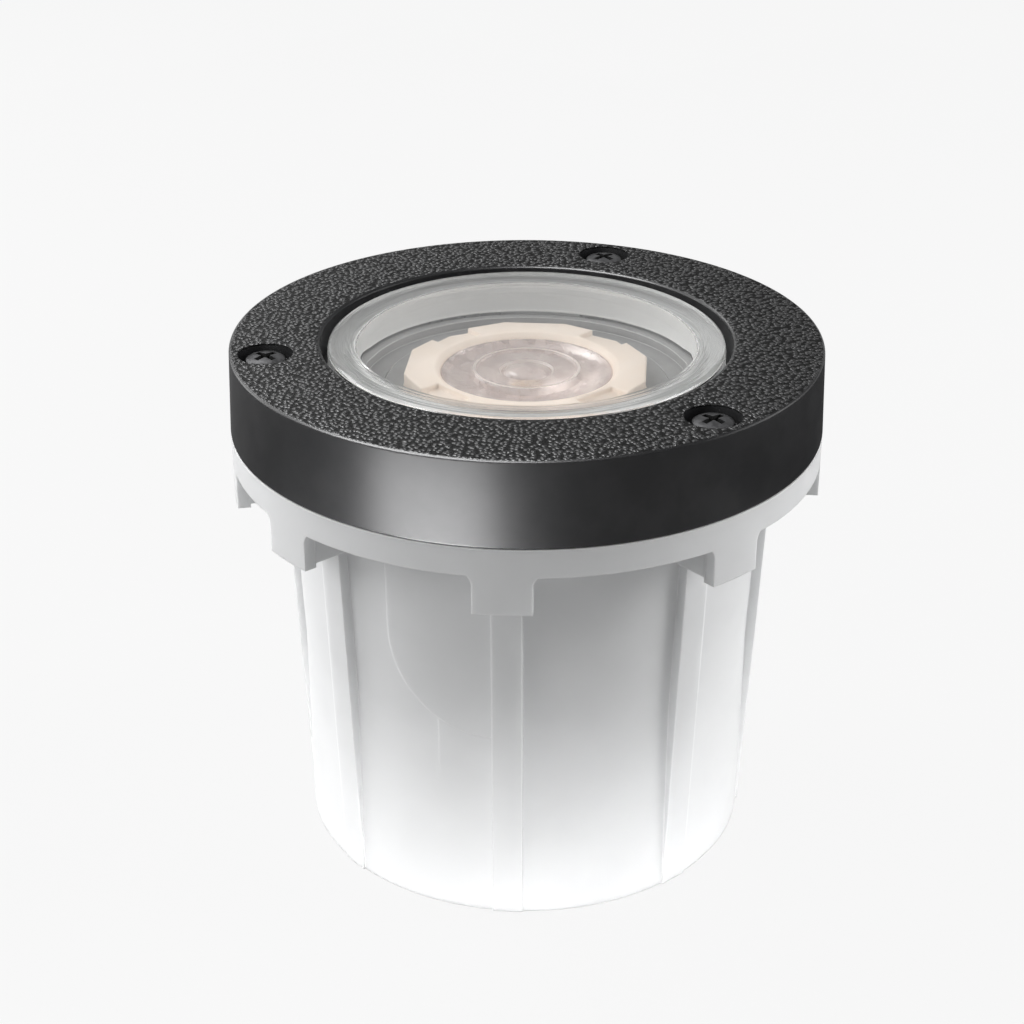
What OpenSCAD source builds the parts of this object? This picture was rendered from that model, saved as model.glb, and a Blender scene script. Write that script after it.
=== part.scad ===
// In-ground well light: a cast cover ring and a stepped glass lens over an aimed lamp in a buried plastic well.
// Millimetres. The foot stands on z = 0, the well's axis is the Z axis and the front faces -Y.

/* [Cover ring] */
// Width of the top face, from the opening to the outer edge
face_w = 19.3; // [18.8:0.1:24]
// Height of the ring
ring_h = 18.4; // [16:0.1:22]
// How much wider the ring is at its lower edge, on the radius
ring_flare = 0.64; // [0:0.02:1.2]
// Rounding of the outer edges
ring_edge = 0.6; // [0.4:0.1:1.6]
// Rounding of the opening's upper edge
opening_edge = 0.6; // [0.2:0.1:1]
// Thickness of the top plate
plate_t = 6; // [5:0.1:8]
// Wall of the inner collar that goes round the lens gasket
collar_t = 2.4; // [2:0.1:2.5]
// Wall of the outer rim
rim_wall_t = 3.2; // [2.4:0.1:4]
// Boss round each screw hole
ring_boss_d = 13.4; // [12.4:0.1:15]

/* [Cover screws] */
// Number of cover screws
screw_count = 3; // [2:1:6]
// Angle of the first screw, counted from +X
screw_turn = 75; // [60:1:90]
// Distance of a screw's axis from the edge of the top face
screw_inset = 7.6; // [7.2:0.1:8]
// Diameter of the well round a screw head
head_well_d = 11.7; // [10:0.1:12]
// Depth of the well round a screw head
head_well_depth = 3; // [2.6:0.1:4]
// Diameter of a pan head
head_d = 8.6; // [8:0.1:9.4]
// Height of a pan head
head_h = 2.6; // [2:0.1:3]
// Diameter of a screw's shank
shank_d = 5; // [4:0.1:5.4]
// Thickness of the seal under a head
head_seal_t = 0.6; // [0.4:0.1:1]
// Outer diameter of a threaded insert
insert_d = 7.4; // [7:0.1:8]
// Length of a threaded insert
insert_len = 12; // [8:0.5:13]
// Width of the cross recess
cross_w = 1.2; // [0.8:0.1:1.4]
// Length of the cross recess
cross_len = 5.6; // [4:0.1:6]
// Depth of the cross recess
cross_depth = 1.5; // [1:0.1:1.8]

/* [Lens] */
// Gap between the lens and the ring's opening
lens_gap = 1.5; // [0.8:0.1:2.5]
// Height of the crown above the lens's rim
lens_crown = 2.2; // [1:0.1:4]
// Thickness of the crowned glass
lens_t = 4.2; // [3.6:0.1:4.5]
// Thickness of the lens's side wall
lens_wall = 5.7; // [4:0.1:6.5]
// Rounding of the upper rim
lens_edge = 1.2; // [0.5:0.1:1.8]
// Width of the clamped step
step_w = 6.1; // [5:0.1:7]
// Thickness of the clamped step
step_t = 4; // [3:0.1:4.4]
// Thickness of each gasket lip
gasket_t = 1; // [0.6:0.1:1.4]
// Thickness of the gasket round the step's edge
gasket_web = 1.4; // [1:0.1:1.8]
// Width of the gasket lips over the step
gasket_lip = 3.3; // [2:0.1:4]

/* [Well] */
// How far the wall stands out from the spigot, under the flange
shoulder_w = 2.05; // [1.6:0.05:3]
// How much wider the wall is under the flange, on the radius
wall_flare = 3.9; // [3:0.1:4.4]
// Thickness of the wall at the floor
wall_t = 2.75; // [2:0.05:3.2]
// Thickness of the spigot that carries the lens gasket
spigot_t = 3.7; // [3.2:0.1:4.2]
// Thickness of the flange under the ring
flange_t = 3.5; // [3:0.1:5]
// Height of the band below the ring
band_h = 6.1; // [4.5:0.1:8]
// Thickness of the band
band_t = 2.7; // [2:0.1:3.5]
// Number of tabs below the band, and of ribs on the wall
tab_count = 8; // [6:1:8]
// Width of a tab
tab_w = 12; // [11:0.1:14]
// Height of a tab below the band
tab_h = 8.2; // [7:0.1:11]
// Rounding between the band and a tab
tab_fillet = 3; // [2:0.1:4]
// Width of a rib
rib_w = 6.4; // [4:0.1:8]
// How far a rib stands out from the wall
rib_proud = 2.2; // [2.1:0.1:3.5]

/* [Raised panel] */
// Angle of the panel from the front rib
panel_turn = -3.5; // [-6:0.5:0]
// How far the panel stands out from the wall
panel_proud = 1.2; // [0.9:0.1:1.6]
// Width of the panel's round-ended outline, which stops at the front rib
panel_w = 44.8; // [40:0.2:48]
// Height of the panel's lowest point above the foot
panel_low = 45; // [40:0.5:50]
// How far the strip below the panel stands out
strip_proud = 0.6; // [0.4:0.1:0.8]
// Width of the strip's outline, which stops at the front rib too
strip_w = 23.4; // [20:0.2:26]

/* [Foot and cable gland] */
// Height of the room for wires between the gland and the terminal block
wire_room_h = 7.1; // [5:0.1:30]
// Height of the recess under the floor
recess_h = 22; // [21:0.5:24]
// Thickness of the floor
floor_t = 3; // [2.5:0.1:4]
// Wall round the recess
foot_wall = 3.4; // [2.6:0.1:4.5]
// Width of the notch that lets the cable out
notch_w = 11; // [9:0.5:16]
// Height of the notch
notch_h = 12; // [10:0.5:16]
// Diameter of the hub round the gland's hole
hub_d = 33; // [32:0.5:40]
// How far the hub stands out below the floor and above it
hub_proud = 2.5; // [1.5:0.1:3]
// Diameter of the gland's thread in the floor
gland_thread_d = 20.4; // [18:0.1:21]
// Width across the flats of the gland's hexagon
gland_hex_w = 25; // [24:0.5:26]
// Height of the gland's hexagon
gland_hex_h = 4.5; // [4:0.1:5]
// Thickness of the gland's sealing washer
gland_washer_t = 1; // [0.6:0.1:1.2]
// Height of the gland's cap nut
cap_h = 9.8; // [9:0.1:10.5]
// Width across the flats of the cap nut
cap_hex_w = 22; // [21:0.5:23]
// Diameter of the cable that the gland holds
cable_d = 7; // [5:0.1:8]
// Height of the locknut inside the well
locknut_h = 4.5; // [3.5:0.1:5]
// Width across the flats of the locknut
locknut_hex_w = 27; // [26:0.5:28]

/* [Turntable] */
// How far the dish's rim stands in from the lens's hollow
dish_inset = 1.8; // [1.2:0.1:2.6]
// Wall of the dish's rim
dish_wall = 2; // [1.4:0.1:2.2]
// Depth of the dish below its rim
dish_depth = 1.9; // [1.2:0.1:2.2]
// Gap between the dish's rim and the glass above it
dish_gap = 0.6; // [0.4:0.1:1]
// Thickness of the turntable's flange
turntable_t = 1.9; // [1.5:0.1:2.4]
// Thickness of the retaining ring
snap_t = 1.2; // [1:0.1:1.4]
// Width of the retaining ring
snap_w = 3; // [2.6:0.1:3.2]
// Depth of the retaining ring below the spigot's top
snap_depth = 1.2; // [1:0.1:1.6]
// Width of the seats inside the wall that carry the turntable
seat_w = 3; // [2.4:0.1:5]
// How far the seats stand in from the wall
seat_proud = 4; // [3:0.1:4.4]
// Number of seats
seat_count = 6; // [4:1:8]
// Thickness of the ears that hold the pivots
ear_t = 4; // [3:0.1:5]
// Width of the ears
ear_w = 12; // [11:0.1:14]

/* [Lamp holder] */
// Wall of the ball that the lamp tilts in, at the tilt axis
ball_wall_t = 5.8; // [5.2:0.1:6.6]
// How far the ball stands in from the dish's rim
ball_inset = 4.2; // [3.6:0.1:5]
// Running gap round the ball
ball_gap = 0.35; // [0.3:0.05:0.6]
// Depth of the tilt axis below the top face
pivot_depth = 19; // [18.6:0.1:19.6]
// Height of the ball above the tilt axis
ball_above_h = 6; // [5.6:0.1:6.3]
// Height of the ball below the tilt axis
ball_below_h = 8; // [7:0.1:10]
// Diameter of the pivots
pivot_d = 4; // [3:0.1:5]
// Thickness of the friction washers
friction_t = 1; // [0.6:0.1:1.2]
// Diameter of the friction washers
friction_d = 9; // [8:0.1:9.4]
// Thickness of the socket strap
strap_t = 1.2; // [0.8:0.1:1.6]
// Width of the socket strap
strap_w = 12; // [10:0.5:14]
// Width of the lamp socket
socket_w = 20; // [18:0.5:24]
// Depth of the lamp socket, front to back
socket_y = 12; // [10:0.5:14]
// Height of the lamp socket
socket_h = 11.5; // [10:0.1:12]
// Length of the terminal block
block_w = 16; // [14:0.5:18]
// Width of the terminal block
block_y = 14; // [12:0.5:16]
// Height of the terminal block
block_h = 8; // [7:0.1:8.4]
// Diameter of the lamp's leads
lead_d = 1.8; // [1.2:0.1:2.2]
// Distance between the two leads
lead_pitch = 6.4; // [5:0.1:7]

/* [Lamp] */
// Depth of the lamp's face below the top face of the ring
face_depth = 9.5; // [9.3:0.1:10]
// Diameter of the lamp's body
sink_d = 49.6; // [46:0.1:58]
// How far the face collar's corners stand out from the body
collar_lip = 1.9; // [1.2:0.1:2.4]
// Number of sides of the face collar
collar_sides = 12; // [8:1:12]
// Number of vents in the face collar
vent_count = 4; // [3:1:6]
// Width of a vent
vent_w = 10.4; // [8:0.2:12]
// Lip that a vent leaves round the optic
vent_lip = 0.9; // [0.6:0.1:1.2]
// Wall of the lamp's body round the clear optic
sink_rim_t = 6.2; // [5.6:0.1:7.2]
// How far the optic lies below the face
optic_inset = 1.1; // [0.6:0.1:1.4]
// Size of the ring raised on the optic, as a share of the optic
optic_ring_share = 0.606; // [0.5:0.002:0.7]
// Size of the small lens at the middle, as a share of the optic
optic_eye_share = 0.267; // [0.2:0.001:0.32]
// Number of fins
fin_count = 20; // [12:2:24]
// Thickness of a fin
fin_t = 1.2; // [0.8:0.1:1.6]
// Length of the lamp from its face to the end of its base
lamp_len = 45; // [44:0.5:46]
// Diameter of the lamp's plastic base
base_d = 22; // [20:0.5:24]
// Distance between the two contact pins
pin_pitch = 5.33; // [5:0.01:6.4]
// Diameter of a contact pin
pin_d = 1.5; // [1:0.1:1.6]
// Length of a contact pin
pin_len = 7; // [6:0.1:8]

/* [Hidden] */
$fn = 96;

// Directions and counts
front = -90;
half_turn = 180;
vent_turn = 47;
boss_turn = 5;
tab_angles = [for (k = [0 : tab_count - 1]) front + k * 360 / tab_count];
screw_angles = [for (k = [0 : screw_count - 1]) screw_turn + k * 360 / screw_count];
lone_bosses = [for (a = screw_angles) if (min([for (t = tab_angles) turn_between(a, t)]) > boss_turn) a];
edge_steps = 6;
hex_sides = 6;

// Clearances and overrun of cuts
cut = 1;
slide_gap = 0.3;
thread_gap = 0.05;
shank_gap = 0.3;
pivot_gap = 0.05;
turntable_gap = 0.4;
turntable_slack = 0.1;
lamp_gap = 0.4;

// Radii of the cover and the lens, from the lamp outwards
sink_r = sink_d / 2;
holder_bore_r = sink_r + lamp_gap;
ball_r = holder_bore_r + ball_wall_t;
dish_r = ball_r + ball_inset;
hollow_r = dish_r + dish_inset;
lens_r = hollow_r + lens_wall;
opening_r = lens_r + lens_gap;
ring_r = opening_r + face_w;
rim_r = ring_r + ring_flare;
step_r = lens_r + step_w;
spigot_r = step_r + gasket_web;
collar_in_r = spigot_r + slide_gap;
collar_out_r = collar_in_r + collar_t;
screw_pitch_r = ring_r - screw_inset;

// Levels of the foot and the gland
floor_z = recess_h + floor_t;
hub_low_z = recess_h - hub_proud;
hub_top_z = floor_z + hub_proud;

// Levels of what stands in the well, from the gland upwards
block_z = hub_top_z + locknut_h + wire_room_h;
strap_z = block_z + block_h;
socket_z = strap_z + strap_t;
lamp_low_z = socket_z + socket_h;
face_z = lamp_low_z + lamp_len;
top_z = face_z + face_depth;

// Levels of the cover, the lens and the well's top
plate_z = top_z - plate_t;
step_top_z = plate_z - gasket_t;
step_low_z = step_top_z - step_t;
spigot_z = step_low_z - gasket_t;
seat_z = top_z - ring_h;
band_z = seat_z - band_h;
tab_z = band_z - tab_h;
head_floor_z = top_z - head_well_depth;
head_z = head_floor_z + head_seal_t;
insert_rim = 0.9;
insert_rim_t = 0.8;

// Well
wall_top_r = spigot_r + shoulder_w;
wall_foot_r = wall_top_r - wall_flare;
cavity_top_r = spigot_r - spigot_t;
cavity_low_r = wall_foot_r - wall_t;
flare_rise = 0.45;
flare_turn = 60;
gusset_inset = 0.6;
seal_inset = 0.2;
seal_w = 1.8;
seal_depth = 1.2;
seal_r = rim_r - rim_wall_t + seal_inset;

// Turntable and retaining ring
snap_top_z = spigot_z - snap_depth;
snap_low_z = snap_top_z - snap_t;
snap_out_r = cavity_top_r + snap_w / 2;
snap_in_r = snap_out_r - snap_w;
groove_gap = 0.15;
snap_open = 24;
snap_lug_r = 1.9;
snap_lug_hole_r = 0.8;
turntable_top_z = snap_low_z - turntable_slack;
turntable_z = turntable_top_z - turntable_t;
turntable_r = cavity_top_r - turntable_gap;
dish_top_z = step_low_z - dish_gap;
dish_floor_z = dish_top_z - dish_depth;

// Tilt axis and lamp holder
pivot_z = top_z - pivot_depth;
ball_top_z = pivot_z + ball_above_h;
ball_low_z = pivot_z - ball_below_h;
ball_flat_cut = 0.5;
ball_flat_x = ball_r - ball_flat_cut;
ear_x = ball_flat_x + friction_t;
pivot_reach = 3.2;
pivot_head_t = 1.6;
pivot_head_d = 6;

// Lamp
collar_r = sink_r + collar_lip;
optic_r = sink_r - sink_rim_t;
optic_ring_r = optic_r * optic_ring_share;
optic_eye_r = optic_r * optic_eye_share;
optic_top_z = face_z - optic_inset;
optic_rim_t = 1.8;
optic_h = 9;
optic_foot_r = 5.4;
led_r = 3.6;
led_h = 0.7;
board_t = 1.4;
board_z = optic_top_z - optic_h - led_h - board_t;
board_r = optic_r - board_t;
base_h = 12;
sink_low_z = lamp_low_z + base_h;
sink_web = 3.6;
sink_core_share = 0.68;
sink_foot_share = 0.5;

// Socket, strap and terminal block
strap_in_y = sink_r + lamp_gap;
strap_out_y = ball_r - ball_flat_cut;
strap_screw_y = (strap_in_y + strap_t + strap_out_y) / 2;
small_screw_d = 2;
small_head_d = 3.4;
small_head_h = 1.4;
small_screw_len = 5;
socket_screw_d = 2.6;
socket_screw_x = socket_w / 2 - socket_screw_d;
socket_head_d = 4.4;
socket_head_h = 1.8;

// Gland
gland_r = gland_thread_d / 2;
hex_top_z = hub_low_z - gland_washer_t;
hex_low_z = hex_top_z - gland_hex_h;
neck_r = 8.6;
neck_len = 6.5;
neck_low_z = hex_low_z - neck_len;
grommet_r = 6.2;
grommet_lip = 1.2;
cap_gap = 0.3;
cap_low_z = hex_low_z - cap_h;
cap_t = cap_h - neck_len - grommet_lip;
cap_mouth_r = cable_d / 2 + grommet_lip / 2;

// Degrees between two directions
function turn_between(a, b) = abs((a - b + 5 * half_turn) % (2 * half_turn) - half_turn);

// Points along an arc from one angle to another
function arc(centre, r, from, to) =
    [for (i = [0 : edge_steps]) let (a = from + (to - from) * i / edge_steps) centre + r * [cos(a), sin(a)]];

// Radius of the outer wall at a level
function wall_r(z) = wall_foot_r + wall_flare * z / seat_z;

// Places a child at each of the given angles and radius
module around(angles, r) {
    for (a = angles) rotate([0, 0, a]) translate([r, 0, 0]) children();
}

// A flat ring between two radii, from z up by h
module tube(outer, inner, z, h) {
    translate([0, 0, z]) difference() {
        cylinder(r = outer, h = h);
        translate([0, 0, -cut]) cylinder(r = inner, h = h + 2 * cut);
    }
}

// A hexagon with the given width across its flats
module hexagon(across, z, h) {
    translate([0, 0, z]) cylinder(d = across / cos(180 / hex_sides), h = h, $fn = hex_sides);
}

// The ring's section: top plate, inner collar and outer rim
module ring_section() {
    polygon(concat(
        [[collar_in_r, seat_z], [collar_out_r, seat_z], [collar_out_r, plate_z],
         [rim_r - rim_wall_t, plate_z], [rim_r - rim_wall_t, seat_z]],
        arc([rim_r - ring_edge, seat_z + ring_edge], ring_edge, -90, 0),
        arc([ring_r - ring_edge, top_z - ring_edge], ring_edge, 0, 90),
        arc([opening_r + opening_edge, top_z - opening_edge], opening_edge, 90, 180),
        [[opening_r, plate_z], [collar_in_r, plate_z]]
    ));
}

module cover_ring() {
    color("#2b2b2c") difference() {
        union() {
            rotate_extrude() ring_section();
            around(screw_angles, screw_pitch_r)
                translate([0, 0, seat_z]) cylinder(d = ring_boss_d, h = plate_z - seat_z + plate_t / 2);
        }
        around(screw_angles, screw_pitch_r) {
            translate([0, 0, head_floor_z]) cylinder(d = head_well_d, h = head_well_depth + cut);
            translate([0, 0, seat_z - cut]) cylinder(d = shank_d + 2 * shank_gap, h = ring_h);
        }
        ring_bore();
    }
}

// What the gasket and the spigot need inside the collar
module ring_bore() {
    translate([0, 0, seat_z - cut]) cylinder(r = collar_in_r, h = plate_z - seat_z + cut);
}

// One pan head screw on the Z axis, its head resting at head_z
module cover_screw() {
    dome = head_h / 2;
    tip_z = seat_z - insert_len + insert_rim;
    difference() {
        union() {
            translate([0, 0, head_z]) rotate_extrude() polygon(concat(
                [[0, 0], [head_d / 2, 0]], arc([head_d / 2 - dome, head_h - dome], dome, 0, 90), [[0, head_h]]
            ));
            translate([0, 0, tip_z]) cylinder(d = shank_d, h = head_z - tip_z + head_h / 2);
        }
        for (a = [0, 90]) rotate([0, 0, a])
            translate([-cross_len / 2, -cross_w / 2, head_z + head_h - cross_depth])
                cube([cross_len, cross_w, cross_depth + cut]);
    }
}

module cover_screws() {
    color("#55565a") around(screw_angles, screw_pitch_r) cover_screw();
}

module head_seals() {
    color("#1c1c1c") around(screw_angles, screw_pitch_r)
        tube(head_d / 2, shank_d / 2 + thread_gap, head_floor_z, head_seal_t);
}

// Crowned surface of the lens as a section: radius r of the rim, level z of the rim, height of the crown
module crown_section(r, z, crown, floor_z) {
    crown_r = (r * r + crown * crown) / (2 * crown);
    intersection() {
        translate([0, floor_z]) square([r, z + crown - floor_z]);
        translate([0, z + crown - crown_r]) circle(r = crown_r, $fn = 360);
    }
}

module lens() {
    rim_z = top_z - lens_edge / 2;
    color([0.80, 0.83, 0.84, 0.5]) rotate_extrude() difference() {
        union() {
            crown_section(lens_r, rim_z, lens_crown, step_top_z);
            translate([0, step_low_z]) square([step_r, step_t]);
        }
        crown_section(hollow_r, rim_z - lens_t, lens_crown * hollow_r / lens_r, step_low_z - cut);
    }
}

module lens_gasket() {
    color("#262626") difference() {
        tube(spigot_r, step_r - gasket_lip, spigot_z, plate_z - spigot_z);
        translate([0, 0, step_low_z]) cylinder(r = step_r, h = step_t);
    }
}

// The form that keeps one castellation, flared into the band, when the rest is cut away
module tab_form() {
    side = tab_w / 2;
    flare_x = side + tab_fillet * (1 - cos(flare_turn));
    flare_y = tab_h + flare_rise - tab_fillet * sin(flare_turn);
    form_r = rim_r - band_t - 3 * cut;
    translate([form_r, 0, tab_z]) rotate([90, 0, 90]) linear_extrude(band_t + 5 * cut) polygon(concat(
        [[-side, -2 * cut], [side, -2 * cut]],
        arc([side + tab_fillet, flare_y], tab_fillet, 180, 180 - flare_turn),
        [[flare_x, tab_h + 2 * cut], [-flare_x, tab_h + 2 * cut]],
        arc([-side - tab_fillet, flare_y], tab_fillet, flare_turn, 0)
    ));
}

// The band with its castellations
module band() {
    difference() {
        tube(rim_r, rim_r - band_t, tab_z, seat_z - flange_t / 2 - tab_z);
        difference() {
            tube(rim_r + cut, rim_r - band_t - cut, tab_z - cut, tab_h + cut);
            for (a = concat(tab_angles, lone_bosses)) rotate([0, 0, a]) tab_form();
        }
    }
}

// The block between the wall and a castellation, which holds an insert under a screw
module gusset() {
    half_w = tab_w / 2 - gusset_inset;
    low_z = tab_z + gusset_inset;
    translate([cavity_top_r, -half_w, low_z])
        cube([rim_r - band_t / 2 - cavity_top_r, 2 * half_w, seat_z - flange_t / 2 - low_z]);
}

module rib() {
    intersection() {
        translate([cavity_top_r, -rib_w / 2, 0]) cube([rim_r - cavity_top_r, rib_w, seat_z - flange_t / 2]);
        cylinder(r1 = wall_foot_r + rib_proud, r2 = wall_top_r + rib_proud, h = seat_z);
    }
}

// What stands out of the wall by the given amount, over an outline drawn on the front
module raised(proud) {
    intersection() {
        cylinder(r1 = wall_foot_r + proud, r2 = wall_top_r + proud, h = seat_z);
        rotate([0, 0, front + panel_turn]) rotate([90, 0, 90]) linear_extrude(rim_r) children();
    }
}

// Keeps what an outline has on the left of the front rib's middle
module left_of_rib() {
    intersection() {
        children();
        translate([-panel_w, 0]) square([panel_w - wall_foot_r * sin(panel_turn), seat_z]);
    }
}

// The panel beside the front rib, round which a side entry can be drilled, with a round lower end
module panel() {
    round_z = panel_low + panel_w / 2;
    raised(panel_proud) left_of_rib() {
        translate([0, round_z]) circle(d = panel_w);
        translate([-panel_w / 2, round_z]) square([panel_w, seat_z - flange_t / 2 - round_z]);
    }
}

// The strip that leads from the panel down to the foot
module strip() {
    raised(strip_proud) left_of_rib()
        translate([-strip_w / 2, 0]) square([strip_w, panel_low + panel_w / 2]);
}

// Everything that the well has outside
module well_outside() {
    cylinder(r1 = wall_foot_r, r2 = wall_top_r, h = seat_z);
    cylinder(r = spigot_r, h = spigot_z);
    translate([0, 0, seat_z - flange_t]) cylinder(r = rim_r, h = flange_t);
    band();
    for (a = concat(tab_angles, lone_bosses)) rotate([0, 0, a]) gusset();
    for (a = tab_angles) rotate([0, 0, a]) rib();
    panel();
    strip();
}

// The hollow that holds the lamp
module well_inside() {
    translate([0, 0, floor_z]) cylinder(r1 = cavity_low_r, r2 = cavity_top_r, h = seat_z - floor_z);
    translate([0, 0, seat_z]) cylinder(r = cavity_top_r, h = spigot_z - seat_z + cut);
    translate([0, 0, snap_low_z - groove_gap]) cylinder(r = snap_out_r + groove_gap, h = snap_t + 2 * groove_gap);
}

// The recess in the foot and the notch that lets the cable out
module foot_recess() {
    translate([0, 0, -cut]) cylinder(r = wall_foot_r - foot_wall, h = recess_h + cut);
    translate([-notch_w / 2, 0, -cut]) cube([notch_w, wall_top_r, notch_h - notch_w / 2 + cut]);
    translate([0, 0, notch_h - notch_w / 2]) rotate([-90, 0, 0]) cylinder(d = notch_w, h = wall_top_r);
}

// The seats inside the wall that carry the turntable
module seats() {
    intersection() {
        for (k = [0 : seat_count - 1]) rotate([0, 0, (k + 0.5) * 360 / seat_count])
            translate([cavity_top_r - seat_proud, -seat_w / 2, floor_z - floor_t / 2])
                cube([seat_proud + wall_t / 2, seat_w, turntable_z - floor_z + floor_t / 2]);
        cylinder(r1 = wall_foot_r - wall_t / 2, r2 = cavity_top_r + wall_t / 2, h = seat_z);
    }
}

module well_body() {
    color("#dcdedf") difference() {
        union() {
            difference() {
                well_outside();
                well_inside();
                foot_recess();
            }
            seats();
            translate([0, 0, hub_low_z]) cylinder(d = hub_d, h = hub_top_z - hub_low_z);
        }
        translate([0, 0, hub_low_z - cut]) cylinder(r = gland_r + thread_gap, h = hub_top_z - hub_low_z + 2 * cut);
        tube(seal_r + seal_w, seal_r, seat_z - seal_depth, seal_depth + cut);
        around(screw_angles, screw_pitch_r) {
            translate([0, 0, seat_z - insert_len]) cylinder(r = insert_d / 2 + thread_gap, h = insert_len + cut);
            translate([0, 0, seat_z - insert_rim_t]) cylinder(r = insert_d / 2 + insert_rim, h = insert_rim_t + cut);
        }
    }
}

module cover_seal() {
    color("#1f1f1f") tube(seal_r + seal_w, seal_r, seat_z - seal_depth, seal_depth);
}

module threaded_inserts() {
    color("#c9a24a") around(screw_angles, screw_pitch_r) difference() {
        union() {
            translate([0, 0, seat_z - insert_len]) cylinder(d = insert_d, h = insert_len - insert_rim_t / 2);
            translate([0, 0, seat_z - insert_rim_t]) cylinder(r = insert_d / 2 + insert_rim, h = insert_rim_t);
        }
        translate([0, 0, seat_z - insert_len - cut]) cylinder(r = shank_d / 2 + thread_gap, h = insert_len + 2 * cut);
    }
}

// Spring ring with two lugs for pliers, open at the back
module retaining_ring() {
    lug_turn = snap_open / 2 + 4;
    color("#9a9da0") difference() {
        union() {
            difference() {
                tube(snap_out_r, snap_in_r, snap_low_z, snap_t);
                translate([0, 0, snap_low_z - cut]) rotate([0, 0, 90 - snap_open / 2])
                    rotate_extrude(angle = snap_open) square([snap_out_r + cut, snap_t + 2 * cut]);
            }
            around([90 - lug_turn, 90 + lug_turn], snap_in_r)
                translate([0, 0, snap_low_z]) cylinder(r = snap_lug_r, h = snap_t);
        }
        around([90 - lug_turn, 90 + lug_turn], snap_in_r)
            translate([0, 0, snap_low_z - cut]) cylinder(r = snap_lug_hole_r, h = snap_t + 2 * cut);
    }
}

module gland_body() {
    color("#3a3b3d") difference() {
        union() {
            translate([0, 0, hex_low_z]) cylinder(r = gland_r, h = hub_top_z + locknut_h + cut - hex_low_z);
            hexagon(gland_hex_w, hex_low_z, gland_hex_h);
            translate([0, 0, neck_low_z]) cylinder(r = neck_r, h = neck_len + gland_hex_h / 2);
        }
        translate([0, 0, neck_low_z - cut]) cylinder(r = grommet_r, h = neck_len + cut);
        translate([0, 0, neck_low_z]) cylinder(r = cable_d / 2 + grommet_lip, h = hub_top_z + locknut_h + 2 * cut);
    }
}

module gland_washer() {
    color("#1f1f1f") tube(gland_hex_w / 2, gland_r + thread_gap, hex_top_z, gland_washer_t);
}

module gland_locknut() {
    color("#3a3b3d") difference() {
        hexagon(locknut_hex_w, hub_top_z, locknut_h);
        translate([0, 0, hub_top_z - cut]) cylinder(r = gland_r + thread_gap, h = locknut_h + 2 * cut);
    }
}

module gland_grommet() {
    color("#202020") difference() {
        union() {
            translate([0, 0, neck_low_z]) cylinder(r = grommet_r - thread_gap, h = neck_len);
            translate([0, 0, neck_low_z - grommet_lip]) cylinder(r = neck_r - thread_gap, h = grommet_lip);
        }
        translate([0, 0, cap_low_z - cut]) cylinder(d = cable_d, h = cap_h + 2 * cut);
    }
}

module gland_cap() {
    color("#3a3b3d") difference() {
        union() {
            hexagon(cap_hex_w, hex_low_z - neck_len - cap_gap, neck_len);
            translate([0, 0, cap_low_z]) cylinder(r1 = cap_mouth_r + cap_t, r2 = cap_hex_w / 2, h = cap_h - neck_len);
        }
        translate([0, 0, neck_low_z - grommet_lip]) cylinder(r = neck_r + thread_gap, h = neck_len + grommet_lip + cut);
        translate([0, 0, cap_low_z - cut]) cylinder(r = cap_mouth_r, h = cap_h);
    }
}

// One ear with the pivot's hole, on the +X side
module ear() {
    difference() {
        union() {
            translate([ear_x, -ear_w / 2, pivot_z]) cube([ear_t, ear_w, turntable_z - pivot_z + turntable_t / 2]);
            translate([ear_x, 0, pivot_z]) rotate([0, 90, 0]) cylinder(d = ear_w, h = ear_t);
        }
        translate([ear_x - cut, 0, pivot_z]) rotate([0, 90, 0]) cylinder(r = pivot_d / 2 + thread_gap, h = ear_t + 2 * cut);
    }
}

module turntable() {
    color("#a9abab") difference() {
        union() {
            translate([0, 0, turntable_z]) cylinder(r = turntable_r, h = turntable_t);
            translate([0, 0, turntable_z]) cylinder(r = dish_r + dish_wall, h = dish_top_z - turntable_z);
            for (side = [0, 1]) mirror([side, 0, 0]) ear();
        }
        translate([0, 0, dish_floor_z]) cylinder(r = dish_r, h = dish_depth + cut);
        translate([0, 0, pivot_z]) sphere(r = ball_r + ball_gap);
        for (side = [0, 1]) mirror([side, 0, 0]) translate([0, 0, pivot_z]) rotate([0, 90, 0]) {
            translate([0, 0, ball_flat_x]) cylinder(r = friction_d / 2 + slide_gap, h = friction_t);
            translate([0, 0, ear_x + ear_t]) cylinder(r = pivot_head_d / 2 + slide_gap, h = turntable_r);
        }
    }
}

// Shouldered pivots through the ears into the ball
module pivot_screws() {
    head_x = ear_x + ear_t;
    tip_x = ball_flat_x - pivot_reach;
    color("#b9bbbd") for (side = [0, 1]) mirror([side, 0, 0]) translate([0, 0, pivot_z]) rotate([0, 90, 0]) {
        translate([0, 0, tip_x]) cylinder(d = pivot_d, h = head_x - tip_x + pivot_head_t / 2);
        translate([0, 0, head_x]) cylinder(d = pivot_head_d, h = pivot_head_t);
    }
}

module friction_washers() {
    color("#e6e2d8") for (side = [0, 1]) mirror([side, 0, 0]) translate([0, 0, pivot_z]) rotate([0, 90, 0])
        tube(friction_d / 2, pivot_d / 2 + pivot_gap, ball_flat_x, friction_t);
}

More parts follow.
